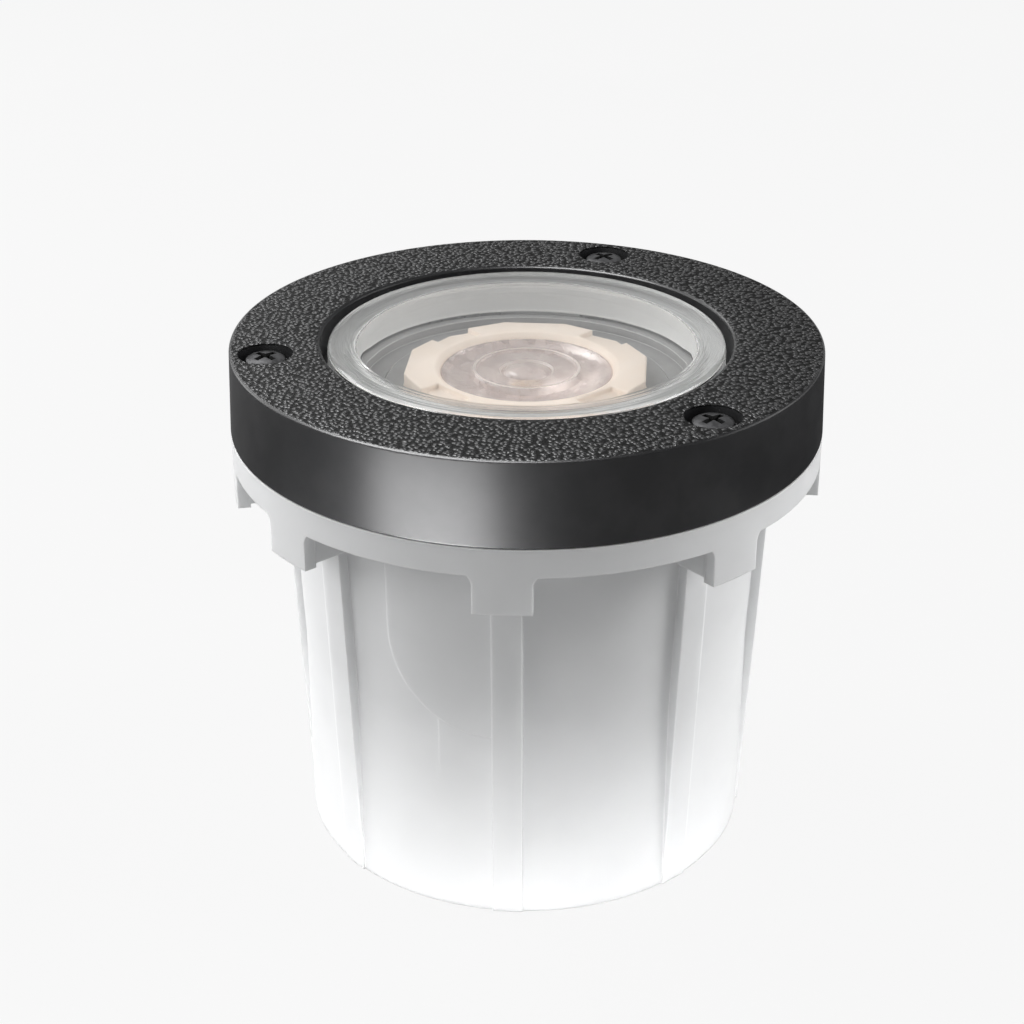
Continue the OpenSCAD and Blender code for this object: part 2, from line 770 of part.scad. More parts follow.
module lamp_holder() {
    color("#9fa1a1") difference() {
        intersection() {
            translate([0, 0, pivot_z]) sphere(r = ball_r);
            translate([-ball_flat_x, -ball_r, ball_low_z]) cube([2 * ball_flat_x, 2 * ball_r, ball_above_h + ball_below_h]);
        }
        translate([0, 0, ball_low_z - cut]) cylinder(r = holder_bore_r, h = ball_above_h + ball_below_h + 2 * cut);
        for (side = [0, 1]) mirror([side, 0, 0]) translate([ball_flat_x + cut, 0, pivot_z]) rotate([0, -90, 0])
            cylinder(r = pivot_d / 2 + pivot_gap, h = pivot_reach + lamp_gap + cut);
        for (side = [0, 1]) mirror([0, side, 0]) translate([0, strap_screw_y, ball_low_z - cut])
            cylinder(r = small_screw_d / 2 + thread_gap, h = small_screw_len);
    }
}

// Steel strap that hangs from the ball and carries the socket
module socket_strap() {
    leg_h = ball_low_z - strap_z;
    color("#b4b7ba") difference() {
        union() {
            translate([-strap_w / 2, -strap_in_y - strap_t, strap_z]) cube([strap_w, 2 * (strap_in_y + strap_t), strap_t]);
            for (side = [0, 1]) mirror([0, side, 0]) {
                translate([-strap_w / 2, strap_in_y, strap_z]) cube([strap_w, strap_t, leg_h]);
                translate([-strap_w / 2, strap_in_y, ball_low_z - strap_t]) cube([strap_w, strap_out_y - strap_in_y, strap_t]);
            }
        }
        for (side = [0, 1]) mirror([0, side, 0]) translate([0, strap_screw_y, ball_low_z - strap_t - cut])
            cylinder(r = small_screw_d / 2 + thread_gap, h = strap_t + 2 * cut);
        for (side = [0, 1]) mirror([side, 0, 0]) translate([socket_screw_x, 0, strap_z - cut])
            cylinder(r = socket_screw_d / 2 + thread_gap, h = strap_t + 2 * cut);
    }
}

module strap_screws() {
    color("#8f9295") for (side = [0, 1]) mirror([0, side, 0]) translate([0, strap_screw_y, ball_low_z - strap_t]) {
        cylinder(d = small_screw_d, h = small_screw_len - cut);
        translate([0, 0, -small_head_h]) cylinder(d = small_head_d, h = small_head_h);
    }
}

module lamp_socket() {
    color("#efece2") difference() {
        translate([-socket_w / 2, -socket_y / 2, socket_z]) cube([socket_w, socket_y, socket_h]);
        for (side = [0, 1]) mirror([side, 0, 0]) {
            translate([socket_screw_x, 0, socket_z - cut])
                cylinder(r = socket_screw_d / 2 + thread_gap, h = socket_h + 2 * cut);
            translate([socket_screw_x, 0, socket_z + socket_h - socket_head_h])
                cylinder(r = socket_head_d / 2 + thread_gap, h = socket_head_h + cut);
            translate([pin_pitch / 2, 0, socket_z + socket_h - pin_len - thread_gap])
                cylinder(r = pin_d / 2 + thread_gap, h = pin_len + cut);
        }
    }
}

module socket_screws() {
    color("#8f9295") for (side = [0, 1]) mirror([side, 0, 0]) translate([socket_screw_x, 0, strap_z]) {
        cylinder(d = socket_screw_d, h = strap_t + socket_h - socket_head_h / 2);
        translate([0, 0, strap_t + socket_h - socket_head_h]) cylinder(d = socket_head_d, h = socket_head_h);
    }
}

// Two leads that loop from the socket's side to the terminal block's end
module socket_leads() {
    high_z = socket_z + socket_h / 4;
    low_z = block_z + block_h / 2;
    bend_r = (high_z - low_z) / 2;
    bend_x = socket_w / 2 + lead_d;
    color("#7d2f2a") for (y = [-lead_pitch / 2, lead_pitch / 2]) translate([0, y, 0]) {
        translate([socket_w / 2, 0, high_z]) rotate([0, 90, 0]) cylinder(d = lead_d, h = bend_x - socket_w / 2);
        translate([bend_x, 0, high_z - bend_r]) rotate([90, 0, 0]) rotate([0, 0, -90])
            rotate_extrude(angle = 180) translate([bend_r, 0]) circle(d = lead_d);
        translate([block_w / 2, 0, low_z]) rotate([0, 90, 0]) cylinder(d = lead_d, h = bend_x - block_w / 2);
    }
}

module terminal_block() {
    entry_len = block_w / 3;
    screw_h = block_h / 3;
    color("#e9e6dc") difference() {
        translate([-block_w / 2, -block_y / 2, block_z]) cube([block_w, block_y, block_h]);
        for (y = [-lead_pitch / 2, lead_pitch / 2]) {
            translate([-block_w / 2 - cut, y, block_z + block_h / 2]) rotate([0, 90, 0]) cylinder(d = lead_d, h = entry_len + cut);
            for (x = [-block_w / 4, block_w / 4]) translate([x, y, block_z - cut])
                cylinder(r = small_head_d / 2 + thread_gap, h = screw_h + cut);
        }
    }
}

module terminal_screws() {
    screw_h = block_h / 3;
    color("#c2a35c") for (x = [-block_w / 4, block_w / 4], y = [-lead_pitch / 2, lead_pitch / 2])
        translate([x, y, block_z + thread_gap]) difference() {
            cylinder(d = small_head_d, h = screw_h - thread_gap);
            translate([-small_head_d, -lead_d / 4, -cut]) cube([2 * small_head_d, lead_d / 2, cut + lead_d / 3]);
        }
}

// Cream front ring of the lamp, with vents that are open to the outside
module lamp_collar() {
    vent_r = optic_r + optic_inset + vent_lip;
    vent_depth = (face_z - ball_top_z) / 3;
    color("#efe0cf") difference() {
        translate([0, 0, ball_top_z]) rotate([0, 0, half_turn / collar_sides])
            cylinder(r = collar_r, h = face_z - ball_top_z, $fn = collar_sides);
        translate([0, 0, ball_top_z - cut]) cylinder(r = optic_r + thread_gap, h = face_z - ball_top_z + 2 * cut);
        translate([0, 0, optic_top_z]) cylinder(r1 = optic_r + thread_gap, r2 = optic_r + optic_inset, h = optic_inset + thread_gap);
        for (k = [0 : vent_count - 1]) rotate([0, 0, vent_turn + 2 * half_turn * k / vent_count])
            translate([vent_r, -vent_w / 2, face_z - vent_depth]) cube([collar_r, vent_w, vent_depth + cut]);
    }
}

// Clear optic: a thin rim over a cone that narrows to the light source
module lamp_optic() {
    rim_z = optic_top_z - optic_rim_t;
    low_z = optic_top_z - optic_h;
    bead = optic_rim_t / 3;
    color([0.86, 0.80, 0.78, 0.6]) rotate_extrude() difference() {
        union() {
            polygon([[0, low_z], [optic_foot_r, low_z], [optic_r - optic_rim_t, rim_z], [optic_r, rim_z],
                [optic_r, optic_top_z], [0, optic_top_z]]);
            translate([optic_ring_r, optic_top_z]) circle(r = bead);
            intersection() {
                translate([0, optic_top_z - bead]) square([optic_eye_r, 3 * bead]);
                translate([0, optic_top_z - optic_eye_r]) circle(r = optic_eye_r + bead);
            }
        }
        translate([0, low_z - cut]) square([led_r, led_h + cut]);
    }
}

// Finned body of the lamp, open at the top for the optic and the board
module lamp_heat_sink() {
    cup_z = board_z;
    web_z = cup_z - sink_web;
    foot_r = sink_r * sink_foot_share;
    color("#c6c8ca") difference() {
        union() {
            translate([0, 0, web_z]) cylinder(r = sink_r, h = ball_top_z - web_z);
            translate([0, 0, sink_low_z]) cylinder(r1 = foot_r * sink_core_share, r2 = sink_r * sink_core_share, h = web_z - sink_low_z);
            intersection() {
                translate([0, 0, sink_low_z]) cylinder(r1 = foot_r, r2 = sink_r, h = web_z - sink_low_z);
                for (k = [0 : fin_count / 2 - 1]) rotate([0, 0, k * 360 / fin_count])
                    translate([-sink_r, -fin_t / 2, sink_low_z]) cube([sink_d, fin_t, web_z - sink_low_z]);
            }
        }
        translate([0, 0, cup_z]) cylinder(r = board_r + thread_gap, h = optic_h + led_h + board_t);
        translate([0, 0, optic_top_z - optic_rim_t]) cylinder(r = optic_r + thread_gap, h = optic_rim_t + cut);
    }
}

module led_board() {
    color("#f1f1ee") translate([0, 0, board_z]) cylinder(r = board_r, h = board_t);
}

module led_emitter() {
    color("#f2cf58") translate([0, 0, board_z + board_t]) cylinder(r = led_r - thread_gap, h = led_h);
}

// Plastic base that houses the driver
module lamp_base() {
    neck_h = base_h / 2;
    color("#ece9e0") difference() {
        union() {
            translate([0, 0, sink_low_z - neck_h]) cylinder(d = base_d, h = neck_h);
            intersection() {
                translate([0, 0, lamp_low_z]) cylinder(d1 = base_d - neck_h, d2 = base_d, h = base_h - neck_h);
                translate([-base_d / 2, -socket_y / 2, lamp_low_z]) cube([base_d, socket_y, base_h]);
            }
        }
        for (side = [0, 1]) mirror([side, 0, 0]) translate([pin_pitch / 2, 0, lamp_low_z - cut])
            cylinder(r = pin_d / 2 + thread_gap, h = neck_h + cut);
    }
}

module lamp_pins() {
    neck_h = base_h / 2;
    color("#d6d2c0") for (side = [0, 1]) mirror([side, 0, 0]) translate([pin_pitch / 2, 0, lamp_low_z - pin_len])
        cylinder(d = pin_d, h = pin_len + neck_h);
}

cover_ring();
cover_screws();
head_seals();
lens();
lens_gasket();
well_body();
cover_seal();
threaded_inserts();
retaining_ring();
gland_body();
gland_washer();
gland_locknut();
gland_grommet();
gland_cap();
turntable();
pivot_screws();
friction_washers();
lamp_holder();
socket_strap();
strap_screws();
lamp_socket();
socket_screws();
socket_leads();
terminal_block();
terminal_screws();
lamp_collar();
lamp_optic();
lamp_heat_sink();
led_board();
led_emitter();
lamp_base();
lamp_pins();
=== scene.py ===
# %% [markdown]
# # An in-ground well light
# A white plastic well is buried up to its rim, and a dark cast ring with a stepped glass lens closes it.
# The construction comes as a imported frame, and this lesson gives it the looks of the real thing.
# Everything is in metres. The foot stands on z = 0, the axis is Z and the front faces -Y.
# The frame is loaded rather than modelled again, so that the looks and the moving parts can't drift apart.

# %% Load the frame
import math

import bmesh
import bpy
from mathutils import Matrix, Vector


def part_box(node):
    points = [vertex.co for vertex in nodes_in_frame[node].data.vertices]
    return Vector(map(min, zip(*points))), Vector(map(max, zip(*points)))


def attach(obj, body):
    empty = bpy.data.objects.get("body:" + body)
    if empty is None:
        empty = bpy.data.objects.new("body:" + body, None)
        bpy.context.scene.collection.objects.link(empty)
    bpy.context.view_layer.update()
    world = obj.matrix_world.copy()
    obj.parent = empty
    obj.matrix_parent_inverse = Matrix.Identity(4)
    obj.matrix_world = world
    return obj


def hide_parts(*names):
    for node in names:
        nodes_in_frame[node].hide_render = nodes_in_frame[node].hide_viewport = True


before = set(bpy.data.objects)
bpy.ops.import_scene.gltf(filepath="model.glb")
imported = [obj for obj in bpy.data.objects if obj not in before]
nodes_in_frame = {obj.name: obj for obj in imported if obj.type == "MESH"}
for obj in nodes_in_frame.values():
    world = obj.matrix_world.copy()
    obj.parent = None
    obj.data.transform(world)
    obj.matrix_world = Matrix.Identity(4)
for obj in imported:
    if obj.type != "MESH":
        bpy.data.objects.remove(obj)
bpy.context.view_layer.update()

MM = 0.001
MERGE = 0.002 * MM

# %% [markdown]
# ## Sizes from the frame
# Each modelled piece takes the place of a solid in the frame, so its size is read from that solid's box.
# Typing the same sizes in again would work too, until one of them changes.
# What a box can't tell, such as a wall or a rounding, is a named value beside the piece.

# %% Read the main sizes
ring_low, ring_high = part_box("cover_ring")
screw_low, screw_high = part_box("cover_screws")
lens_low, lens_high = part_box("lens")
collar_low, collar_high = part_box("lamp_collar")
optic_low, optic_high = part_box("lamp_optic")
rim_r = ring_high.x
ring_top_z = ring_high.z
seat_z = ring_low.z
step_r = lens_high.x
crown_z = lens_high.z
step_low_z = lens_low.z
print("ring radius and top in mm:", round(rim_r / MM, 2), round(ring_top_z / MM, 2))

# %% [markdown]
# ## Modelling by hand in code
# A mesh could be written down as lists of points and faces, but nobody can read a shape out of such lists.
# Blender's operators do what a hand does in edit mode, so the steps stay clear. They act on what is
# selected, so every step starts by selecting nothing. These helpers pick an object, pick parts of its mesh
# by their place, and close edit mode again.

# %% Helpers to select
def take(piece):
    bpy.ops.object.select_all(action="DESELECT")
    piece.select_set(True)
    bpy.context.view_layer.objects.active = piece


def open_mesh(piece, kind="VERT"):
    take(piece)
    bpy.ops.object.mode_set(mode="EDIT")
    bpy.ops.mesh.select_mode(type=kind)
    bpy.ops.mesh.select_all(action="DESELECT")


def close_mesh():
    bpy.ops.object.mode_set(mode="OBJECT")


def pick_faces(piece, wanted):
    mesh = bmesh.from_edit_mesh(piece.data)
    for face in mesh.faces:
        face.select_set(wanted(face.calc_center_median(), face.normal))
    bmesh.update_edit_mesh(piece.data)


def pick_edges(piece, wanted):
    mesh = bmesh.from_edit_mesh(piece.data)
    for edge in mesh.edges:
        ends = [v.co for v in edge.verts]
        edge.select_set(wanted(ends[0], ends[1]))
    bmesh.update_edit_mesh(piece.data)
    return sum(edge.select for edge in mesh.edges)


print("helpers to select are ready")

# %% [markdown]
# Most of this light is round about one axis, as if it came off a lathe.
# A lathe piece starts as one point that is extruded along the half section, and the spin operator
# then turns that line once round. Merging the doubles closes the seam and the poles.
# A Screw modifier would give the same form, but nothing here has to stay adjustable.

# %% Turn a piece on the lathe
def arc(centre_r, centre_z, radius, start, end, steps=6):
    """Points of a rounding, from one angle in degrees to another."""
    angles = [math.radians(start + (end - start) * i / steps) for i in range(steps + 1)]
    return [(centre_r + radius * math.cos(a), centre_z + radius * math.sin(a)) for a in angles]


def turned(name, section, steps=192):
    """Spins a line of (radius, height) points about the Z axis into a closed piece."""
    bpy.ops.object.select_all(action="DESELECT")
    bpy.ops.mesh.primitive_plane_add(size=MM)
    piece = bpy.context.active_object
    piece.name = name
    bpy.ops.object.mode_set(mode="EDIT")
    bpy.ops.mesh.select_mode(type="VERT")
    bpy.ops.mesh.merge(type="CENTER")
    bpy.ops.transform.translate(value=(section[0][0], 0, section[0][1]))
    for here, there in zip(section, section[1:]):
        step = (there[0] - here[0], 0, there[1] - here[1])
        bpy.ops.mesh.extrude_region_move(TRANSFORM_OT_translate={"value": step})
    bpy.ops.mesh.select_all(action="SELECT")
    bpy.ops.mesh.remove_doubles(threshold=MERGE)
    bpy.ops.mesh.spin(steps=steps, angle=2 * math.pi, center=(0, 0, 0), axis=(0, 0, 1))
    bpy.ops.mesh.select_all(action="SELECT")
    bpy.ops.mesh.remove_doubles(threshold=MERGE)
    bpy.ops.mesh.normals_make_consistent(inside=False)
    close_mesh()
    return piece


print("the lathe is ready")

# %% [markdown]
# Holes and recesses are cut with a Boolean modifier, whose cutter is thrown away afterwards. Cutting edge
# by edge would give tidier faces, but a Boolean keeps a round hole round.
# A finished piece is shaded smooth up to a limit angle, rides on its body and hides the solids it stands
# for.

# %% Helpers to cut, round and finish
def apply_all(piece):
    take(piece)
    for modifier in list(piece.modifiers):
        bpy.ops.object.modifier_apply(modifier=modifier.name)


def combine(piece, tool, how):
    modifier = piece.modifiers.new("tool", "BOOLEAN")
    modifier.operation = how
    modifier.solver = "EXACT"
    modifier.object = tool
    apply_all(piece)
    bpy.data.objects.remove(tool)


def round_edges(piece, width, wanted, segments=3):
    open_mesh(piece, "EDGE")
    count = pick_edges(piece, wanted)
    bpy.ops.mesh.bevel(offset=width, segments=segments, affect="EDGES", clamp_overlap=True)
    close_mesh()
    return count


def finish_piece(piece, body, finish, stands_for=(), smooth=35):
    take(piece)
    bpy.ops.object.transform_apply(location=True, rotation=True, scale=True)
    bpy.ops.object.shade_smooth_by_angle(angle=math.radians(smooth))
    piece.data.materials.clear()
    piece.data.materials.append(finish)
    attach(piece, body)
    if stands_for:
        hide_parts(*stands_for)
    print(piece.name, "faces:", len(piece.data.polygons))


def copy_turned(piece, name, angle):
    """A copy with its own mesh, turned about the object's axis."""
    twin = piece.copy()
    twin.data = piece.data.copy()
    twin.name = name
    twin.data.transform(Matrix.Rotation(math.radians(angle), 4, "Z"))
    bpy.context.scene.collection.objects.link(twin)
    return twin


print("helpers to cut, round and finish are ready")

# %% [markdown]
# ## Finishes
# A finish is a Principled shader whose plain numbers sit on its own sockets. Photographs of the surface
# could be wrapped round the piece instead, but patterns need no unwrapping and stay sharp at any distance.
# Patterns read Object coordinates, so a noise with a scale of one over its size has spots of that size.
# The helpers below each add one kind of detail: patches of tone, uneven polish, grain and soft edges.

# %% Helpers for finishes
class Finish:
    """A Principled material, with the few steps that its patterns need."""

    def __init__(self, name, colour, roughness, **sockets):
        self.material = bpy.data.materials.new(name)
        self.material.use_nodes = True
        tree = self.material.node_tree
        self.nodes, self.links = tree.nodes, tree.links
        self.shader = self.nodes["Principled BSDF"]
        self.shader.inputs["Base Color"].default_value = (*colour, 1)
        self.shader.inputs["Roughness"].default_value = roughness
        for socket, value in sockets.items():
            self.shader.inputs[socket.replace("_", " ")].default_value = value
        self.place = self.nodes.new("ShaderNodeTexCoord").outputs["Object"]
        self.normal = None

    def node(self, kind, settings=(), **values):
        made = self.nodes.new(kind)
        for key, value in dict(settings).items():
            setattr(made, key, value)
        for socket, value in values.items():
            self.feed(made.inputs[socket.replace("_", " ")], value)
        return made

    def feed(self, socket, value):
        if isinstance(value, bpy.types.NodeSocket):
            self.links.new(value, socket)
        else:
            socket.default_value = value

    def noise(self, size, detail=3.0, rough=0.55):
        return self.node(
            "ShaderNodeTexNoise", Vector=self.place, Scale=1 / size, Detail=detail, Roughness=rough
        ).outputs["Fac"]

    def ramp(self, value, low, high, to_low=0.0, to_high=1.0):
        made = self.node("ShaderNodeMapRange", {"interpolation_type": "SMOOTHSTEP"}, Value=value)
        for place, number in zip(range(1, 5), (low, high, to_low, to_high)):
            self.feed(made.inputs[place], number)
        return made.outputs["Result"]

    def calc(self, how, one, two):
        made = self.node("ShaderNodeMath", {"operation": how})
        self.feed(made.inputs[0], one)
        self.feed(made.inputs[1], two)
        return made.outputs["Value"]

    def blend(self, amount, one, two):
        made = self.node("ShaderNodeMix", {"data_type": "RGBA"})
        self.feed(made.inputs[0], amount)
        self.feed(made.inputs[6], (*one, 1) if isinstance(one, tuple) else one)
        self.feed(made.inputs[7], (*two, 1) if isinstance(two, tuple) else two)
        return made.outputs[2]

    def radius(self):
        """Distance of a point from the object's axis."""
        flat = self.node("ShaderNodeVectorMath", {"operation": "MULTIPLY"})
        self.feed(flat.inputs[0], self.place)
        flat.inputs[1].default_value = (1, 1, 0)
        length = self.node("ShaderNodeVectorMath", {"operation": "LENGTH"})
        self.feed(length.inputs[0], flat.outputs["Vector"])
        return length.outputs["Value"]

    def height(self):
        parts = self.node("ShaderNodeSeparateXYZ")
        self.feed(parts.inputs[0], self.place)
        return parts.outputs["Z"]

    def tone(self, size, one, two, low=0.35, high=0.65):
        """Patches of two close colours."""
        colour = self.blend(self.ramp(self.noise(size), low, high), one, two)
        self.feed(self.shader.inputs["Base Color"], colour)

    def polish(self, size, low, high):
        """Roughness that wanders between two values."""
        self.feed(self.shader.inputs["Roughness"], self.ramp(self.noise(size), 0.3, 0.7, low, high))

    def soft_edges(self, radius, samples=6):
        """Rounds sharp edges in the shading, as a mould or a tumbled casting does."""
        edge = self.node("ShaderNodeBevel", {"samples": samples}, Radius=radius)
        self.normal = edge.outputs["Normal"]
        self.feed(self.shader.inputs["Normal"], self.normal)

    def edges(self, radius, samples=6, at_edge=0.72, on_face=0.985):
        """Where the rounded normal leaves the true one: nothing on a face, one on an edge."""
        edge = self.node("ShaderNodeBevel", {"samples": samples}, Radius=radius)
        flat = self.node("ShaderNodeNewGeometry")
        dot = self.node("ShaderNodeVectorMath", {"operation": "DOT_PRODUCT"})
        self.feed(dot.inputs[0], edge.outputs["Normal"])
        self.feed(dot.inputs[1], flat.outputs["Normal"])
        return self.ramp(dot.outputs["Value"], at_edge, on_face, 1.0, 0.0)

    def relief(self, height, depth, strength=1.0):
        """Bumps of the given depth, on top of what the normal already has."""
        bump = self.node("ShaderNodeBump", Height=height, Distance=depth, Strength=strength)
        if self.normal:
            self.feed(bump.inputs["Normal"], self.normal)
        self.normal = bump.outputs["Normal"]
        self.feed(self.shader.inputs["Normal"], self.normal)

    def grain(self, size, depth, strength=1.0):
        self.relief(self.noise(size, 4.0), depth, strength)


print("helpers for finishes are ready")

# %% [markdown]
# ### Cast ring
# The ring is cast and powder coated. Its top face has a pebbled grain like leather, up to a narrow smooth
# margin at both edges, while the outer side is smooth and satin.
# The pebbles are only a fraction of a millimetre high, so a bump shows them and sculpting isn't needed.
# Cells of a Voronoi pattern, pushed about by a noise, make them. The pattern is a flat one, because cells
# in space would be cut at odd heights and leave bare patches. A mask by height and radius keeps the pebbles
# on the top face. A bump casts no shadow, so the valleys between them get painted shade: a near black
# colour and less specular. They are also rougher, for the dust they hold.

# %% Finish of the cover ring
face_w = 19.3 * MM
draft = 0.64 * MM
ring_r = rim_r - draft
opening_r = ring_r - face_w
margin = 0.3 * MM
pebble = 1.15 * MM
pebble_depth = 0.32 * MM
pebble_push = 0.55 * MM
warp_size = 1.7 * MM
fine_size = 0.5 * MM
fine_share = 0.4
dust_size = 9 * MM
skin_size = 0.25 * MM
skin_depth = 0.004 * MM
valley_painted_shade = (0.002, 0.002, 0.002)

cast = Finish("ring_black_cast", (0.013, 0.013, 0.0135), 0.36)
warp = cast.node("ShaderNodeTexNoise", Vector=cast.place, Scale=1 / warp_size, Detail=2.0)
push = cast.node("ShaderNodeVectorMath", {"operation": "MULTIPLY_ADD"})
cast.feed(push.inputs[0], warp.outputs["Color"])
push.inputs[1].default_value = (pebble_push,) * 3
cast.feed(push.inputs[2], cast.place)
cells = cast.node(
    "ShaderNodeTexVoronoi", {"voronoi_dimensions": "2D", "feature": "SMOOTH_F1"},
    Vector=push.outputs["Vector"], Scale=1 / pebble, Smoothness=0.2,
)
domes = cast.ramp(cells.outputs["Distance"], 0.0, 0.6, 1.0, 0.0)
fine = cast.noise(fine_size, 2.0)
pebbles = cast.calc("ADD", domes, cast.calc("MULTIPLY", fine, fine_share))
inside_mask = cast.ramp(cast.radius(), opening_r + margin, opening_r + 3 * margin)
outside_mask = cast.ramp(cast.radius(), ring_r - 2.2 * margin, ring_r - margin, 1.0, 0.0)
top_mask = cast.ramp(cast.height(), ring_top_z - 0.5 * MM, ring_top_z - 0.2 * MM)
grain_mask = cast.calc("MULTIPLY", cast.calc("MULTIPLY", inside_mask, outside_mask), top_mask)
cast.soft_edges(0.2 * MM)
cast.relief(cast.calc("MULTIPLY", pebbles, grain_mask), pebble_depth)
cast.grain(skin_size, skin_depth)
valley = cast.calc("MULTIPLY", cast.ramp(pebbles, 0.15, 0.55, 1.0, 0.0), grain_mask)
dust = cast.ramp(cast.noise(dust_size), 0.35, 0.7)
dusty = cast.blend(dust, (0.010, 0.010, 0.011), (0.016, 0.016, 0.017))
# Painted shade: the valleys get a near black colour and less specular, where a real relief would lie in
# shadow.
cast.feed(cast.shader.inputs["Base Color"], cast.blend(valley, dusty, valley_painted_shade))
cast.feed(cast.shader.inputs["Roughness"], cast.ramp(valley, 0.0, 1.0, 0.36, 0.6))
cast.feed(cast.shader.inputs["Specular IOR Level"], cast.ramp(valley, 0.0, 1.0, 0.15, 0.04))
print("finish:", cast.material.name)

# %% [markdown]
# ### Steel, brass and aluminium
# The screws are dark steel, the inserts brass and the heat sink cast aluminium.
# One plain metal with a fixed roughness would look like a toy. Machined metal is never even: its polish
# wanders, and small pits catch the light. One function makes them all, since only the numbers differ.

# %% Metal finishes
def metal(name, dark, light, roughness, spot=1.2 * MM):
    made = Finish(name, light, roughness, Metallic=1.0)
    made.soft_edges(0.12 * MM, 4)
    made.tone(spot, dark, light)
    made.polish(0.6 * MM, roughness - 0.08, roughness + 0.1)
    made.grain(0.3 * MM, 0.01 * MM)
    return made.material


screw_steel = metal("screw_dark_steel", (0.09, 0.09, 0.093), (0.15, 0.15, 0.155), 0.38)
spring_steel = metal("spring_steel_strip", (0.34, 0.35, 0.36), (0.46, 0.47, 0.48), 0.32)
strap_steel = metal("strap_steel_strip", (0.45, 0.46, 0.47), (0.58, 0.59, 0.60), 0.34)
insert_brass = metal("insert_brass_turned", (0.55, 0.38, 0.14), (0.70, 0.50, 0.20), 0.30)
pin_nickel = metal("pin_nickel_plate", (0.60, 0.57, 0.50), (0.72, 0.69, 0.60), 0.26)
sink_metal = metal("sink_aluminium_cast", (0.50, 0.51, 0.52), (0.62, 0.63, 0.64), 0.45, 2.5 * MM)
print("metal finishes, from", screw_steel.name, "to", sink_metal.name)

# %% [markdown]
# ### Rubber
# Seals are moulded rubber: nearly black, without gloss, with a faint bloom of grey dust on them.
# Pure black would show no shape at all, so two near blacks take turns over the surface.
# The same recipe, duller still, gives the near black painted shade in the screws' recesses.

# %% Rubber finishes
def rubber(name, dark, dusty_tone, roughness=0.7):
    made = Finish(name, dark, roughness, Specular_IOR_Level=0.35)
    made.soft_edges(0.25 * MM, 4)
    made.tone(4 * MM, dark, dusty_tone, 0.45, 0.8)
    made.polish(2 * MM, roughness - 0.08, roughness + 0.12)
    made.grain(0.35 * MM, 0.02 * MM)
    return made.material


seal_rubber = rubber("seal_black_rubber", (0.010, 0.010, 0.010), (0.022, 0.022, 0.022))
# Painted shade: a near black rubber for the screws' cross recesses.
recess_painted_shade = rubber("screw_recess_painted_shade", (0.004, 0.004, 0.004), (0.010, 0.010, 0.009), 0.85)
print("rubber finishes:", seal_rubber.name, recess_painted_shade.name)

# %% [markdown]
# ### The well's plastic
# The well is moulded in a pale, slightly milky plastic. A plain white paint would give it hard shadows.
# Light enters the plastic a little way, so its shadows are soft, and a little subsurface scattering gives
# that. Its thin edges are painted paler, as a painted highlight. Its skin has a fine matt grain and flow
# lines.

# %% Finish of the well
well = Finish(
    "well_plastic_moulded", (0.78, 0.785, 0.79), 0.45,
    Subsurface_Weight=0.5, Subsurface_Scale=2.5 * MM, Specular_IOR_Level=0.35,
)
well.shader.inputs["Subsurface Radius"].default_value = (1.0, 1.0, 1.0)
well.soft_edges(0.4 * MM, 8)
flow = well.ramp(well.noise(26 * MM), 0.35, 0.65)
patches = well.blend(flow, (0.765, 0.77, 0.775), (0.795, 0.80, 0.805))
# Painted highlight: the well's edges are blended towards near white.
well.feed(well.shader.inputs["Base Color"], well.blend(well.edges(0.8 * MM), patches, (0.95, 0.955, 0.96)))
well.polish(7 * MM, 0.4, 0.5)
well.grain(0.35 * MM, 0.008 * MM)
well.grain(14 * MM, 0.05 * MM, 0.5)
print("finish:", well.material.name)

# %% [markdown]
# ### Other plastics and the ceramic
# The gland is black nylon, the washers and the terminal block natural nylon, the socket glazed ceramic
# and the lamp's skin cream. They could share one material with other colours, but each has its own polish
# and grain, so one function takes these as numbers.

# %% Other plastics and the ceramic
def plastic(name, one, two, roughness, spot=5 * MM, edge=0.25 * MM, skin=0.008 * MM, **sockets):
    made = Finish(name, one, roughness, **sockets)
    made.soft_edges(edge, 4)
    made.tone(spot, one, two)
    made.polish(1.5 * MM, roughness - 0.06, roughness + 0.08)
    made.grain(0.3 * MM, skin)
    return made.material


gland_nylon = plastic("gland_nylon_black", (0.035, 0.036, 0.038), (0.045, 0.046, 0.048), 0.45)
washer_nylon = plastic("washer_nylon_natural", (0.72, 0.69, 0.61), (0.78, 0.75, 0.67), 0.5)
block_nylon = plastic("block_nylon_ivory", (0.74, 0.71, 0.62), (0.80, 0.77, 0.68), 0.42)
lead_skin = plastic("lead_red_silicone", (0.20, 0.028, 0.022), (0.26, 0.036, 0.028), 0.5, 2 * MM)
socket_glaze = plastic(
    "socket_ceramic_glazed", (0.82, 0.80, 0.74), (0.87, 0.85, 0.79), 0.25,
    3 * MM, 0.3 * MM, 0.02 * MM, Coat_Weight=0.4,
)
board_mask = plastic("board_white_mask", (0.80, 0.80, 0.78), (0.85, 0.85, 0.83), 0.35, 1.5 * MM)
led_phosphor = plastic(
    "led_yellow_phosphor", (0.80, 0.58, 0.10), (0.86, 0.66, 0.14), 0.4, 0.7 * MM, 0.1 * MM
)
lamp_skin = plastic("lamp_cream_plastic", (0.93, 0.80, 0.69), (0.95, 0.83, 0.73), 0.45, 6 * MM, 0.3 * MM)
print("plastic finishes are ready, the last is", lamp_skin.name)
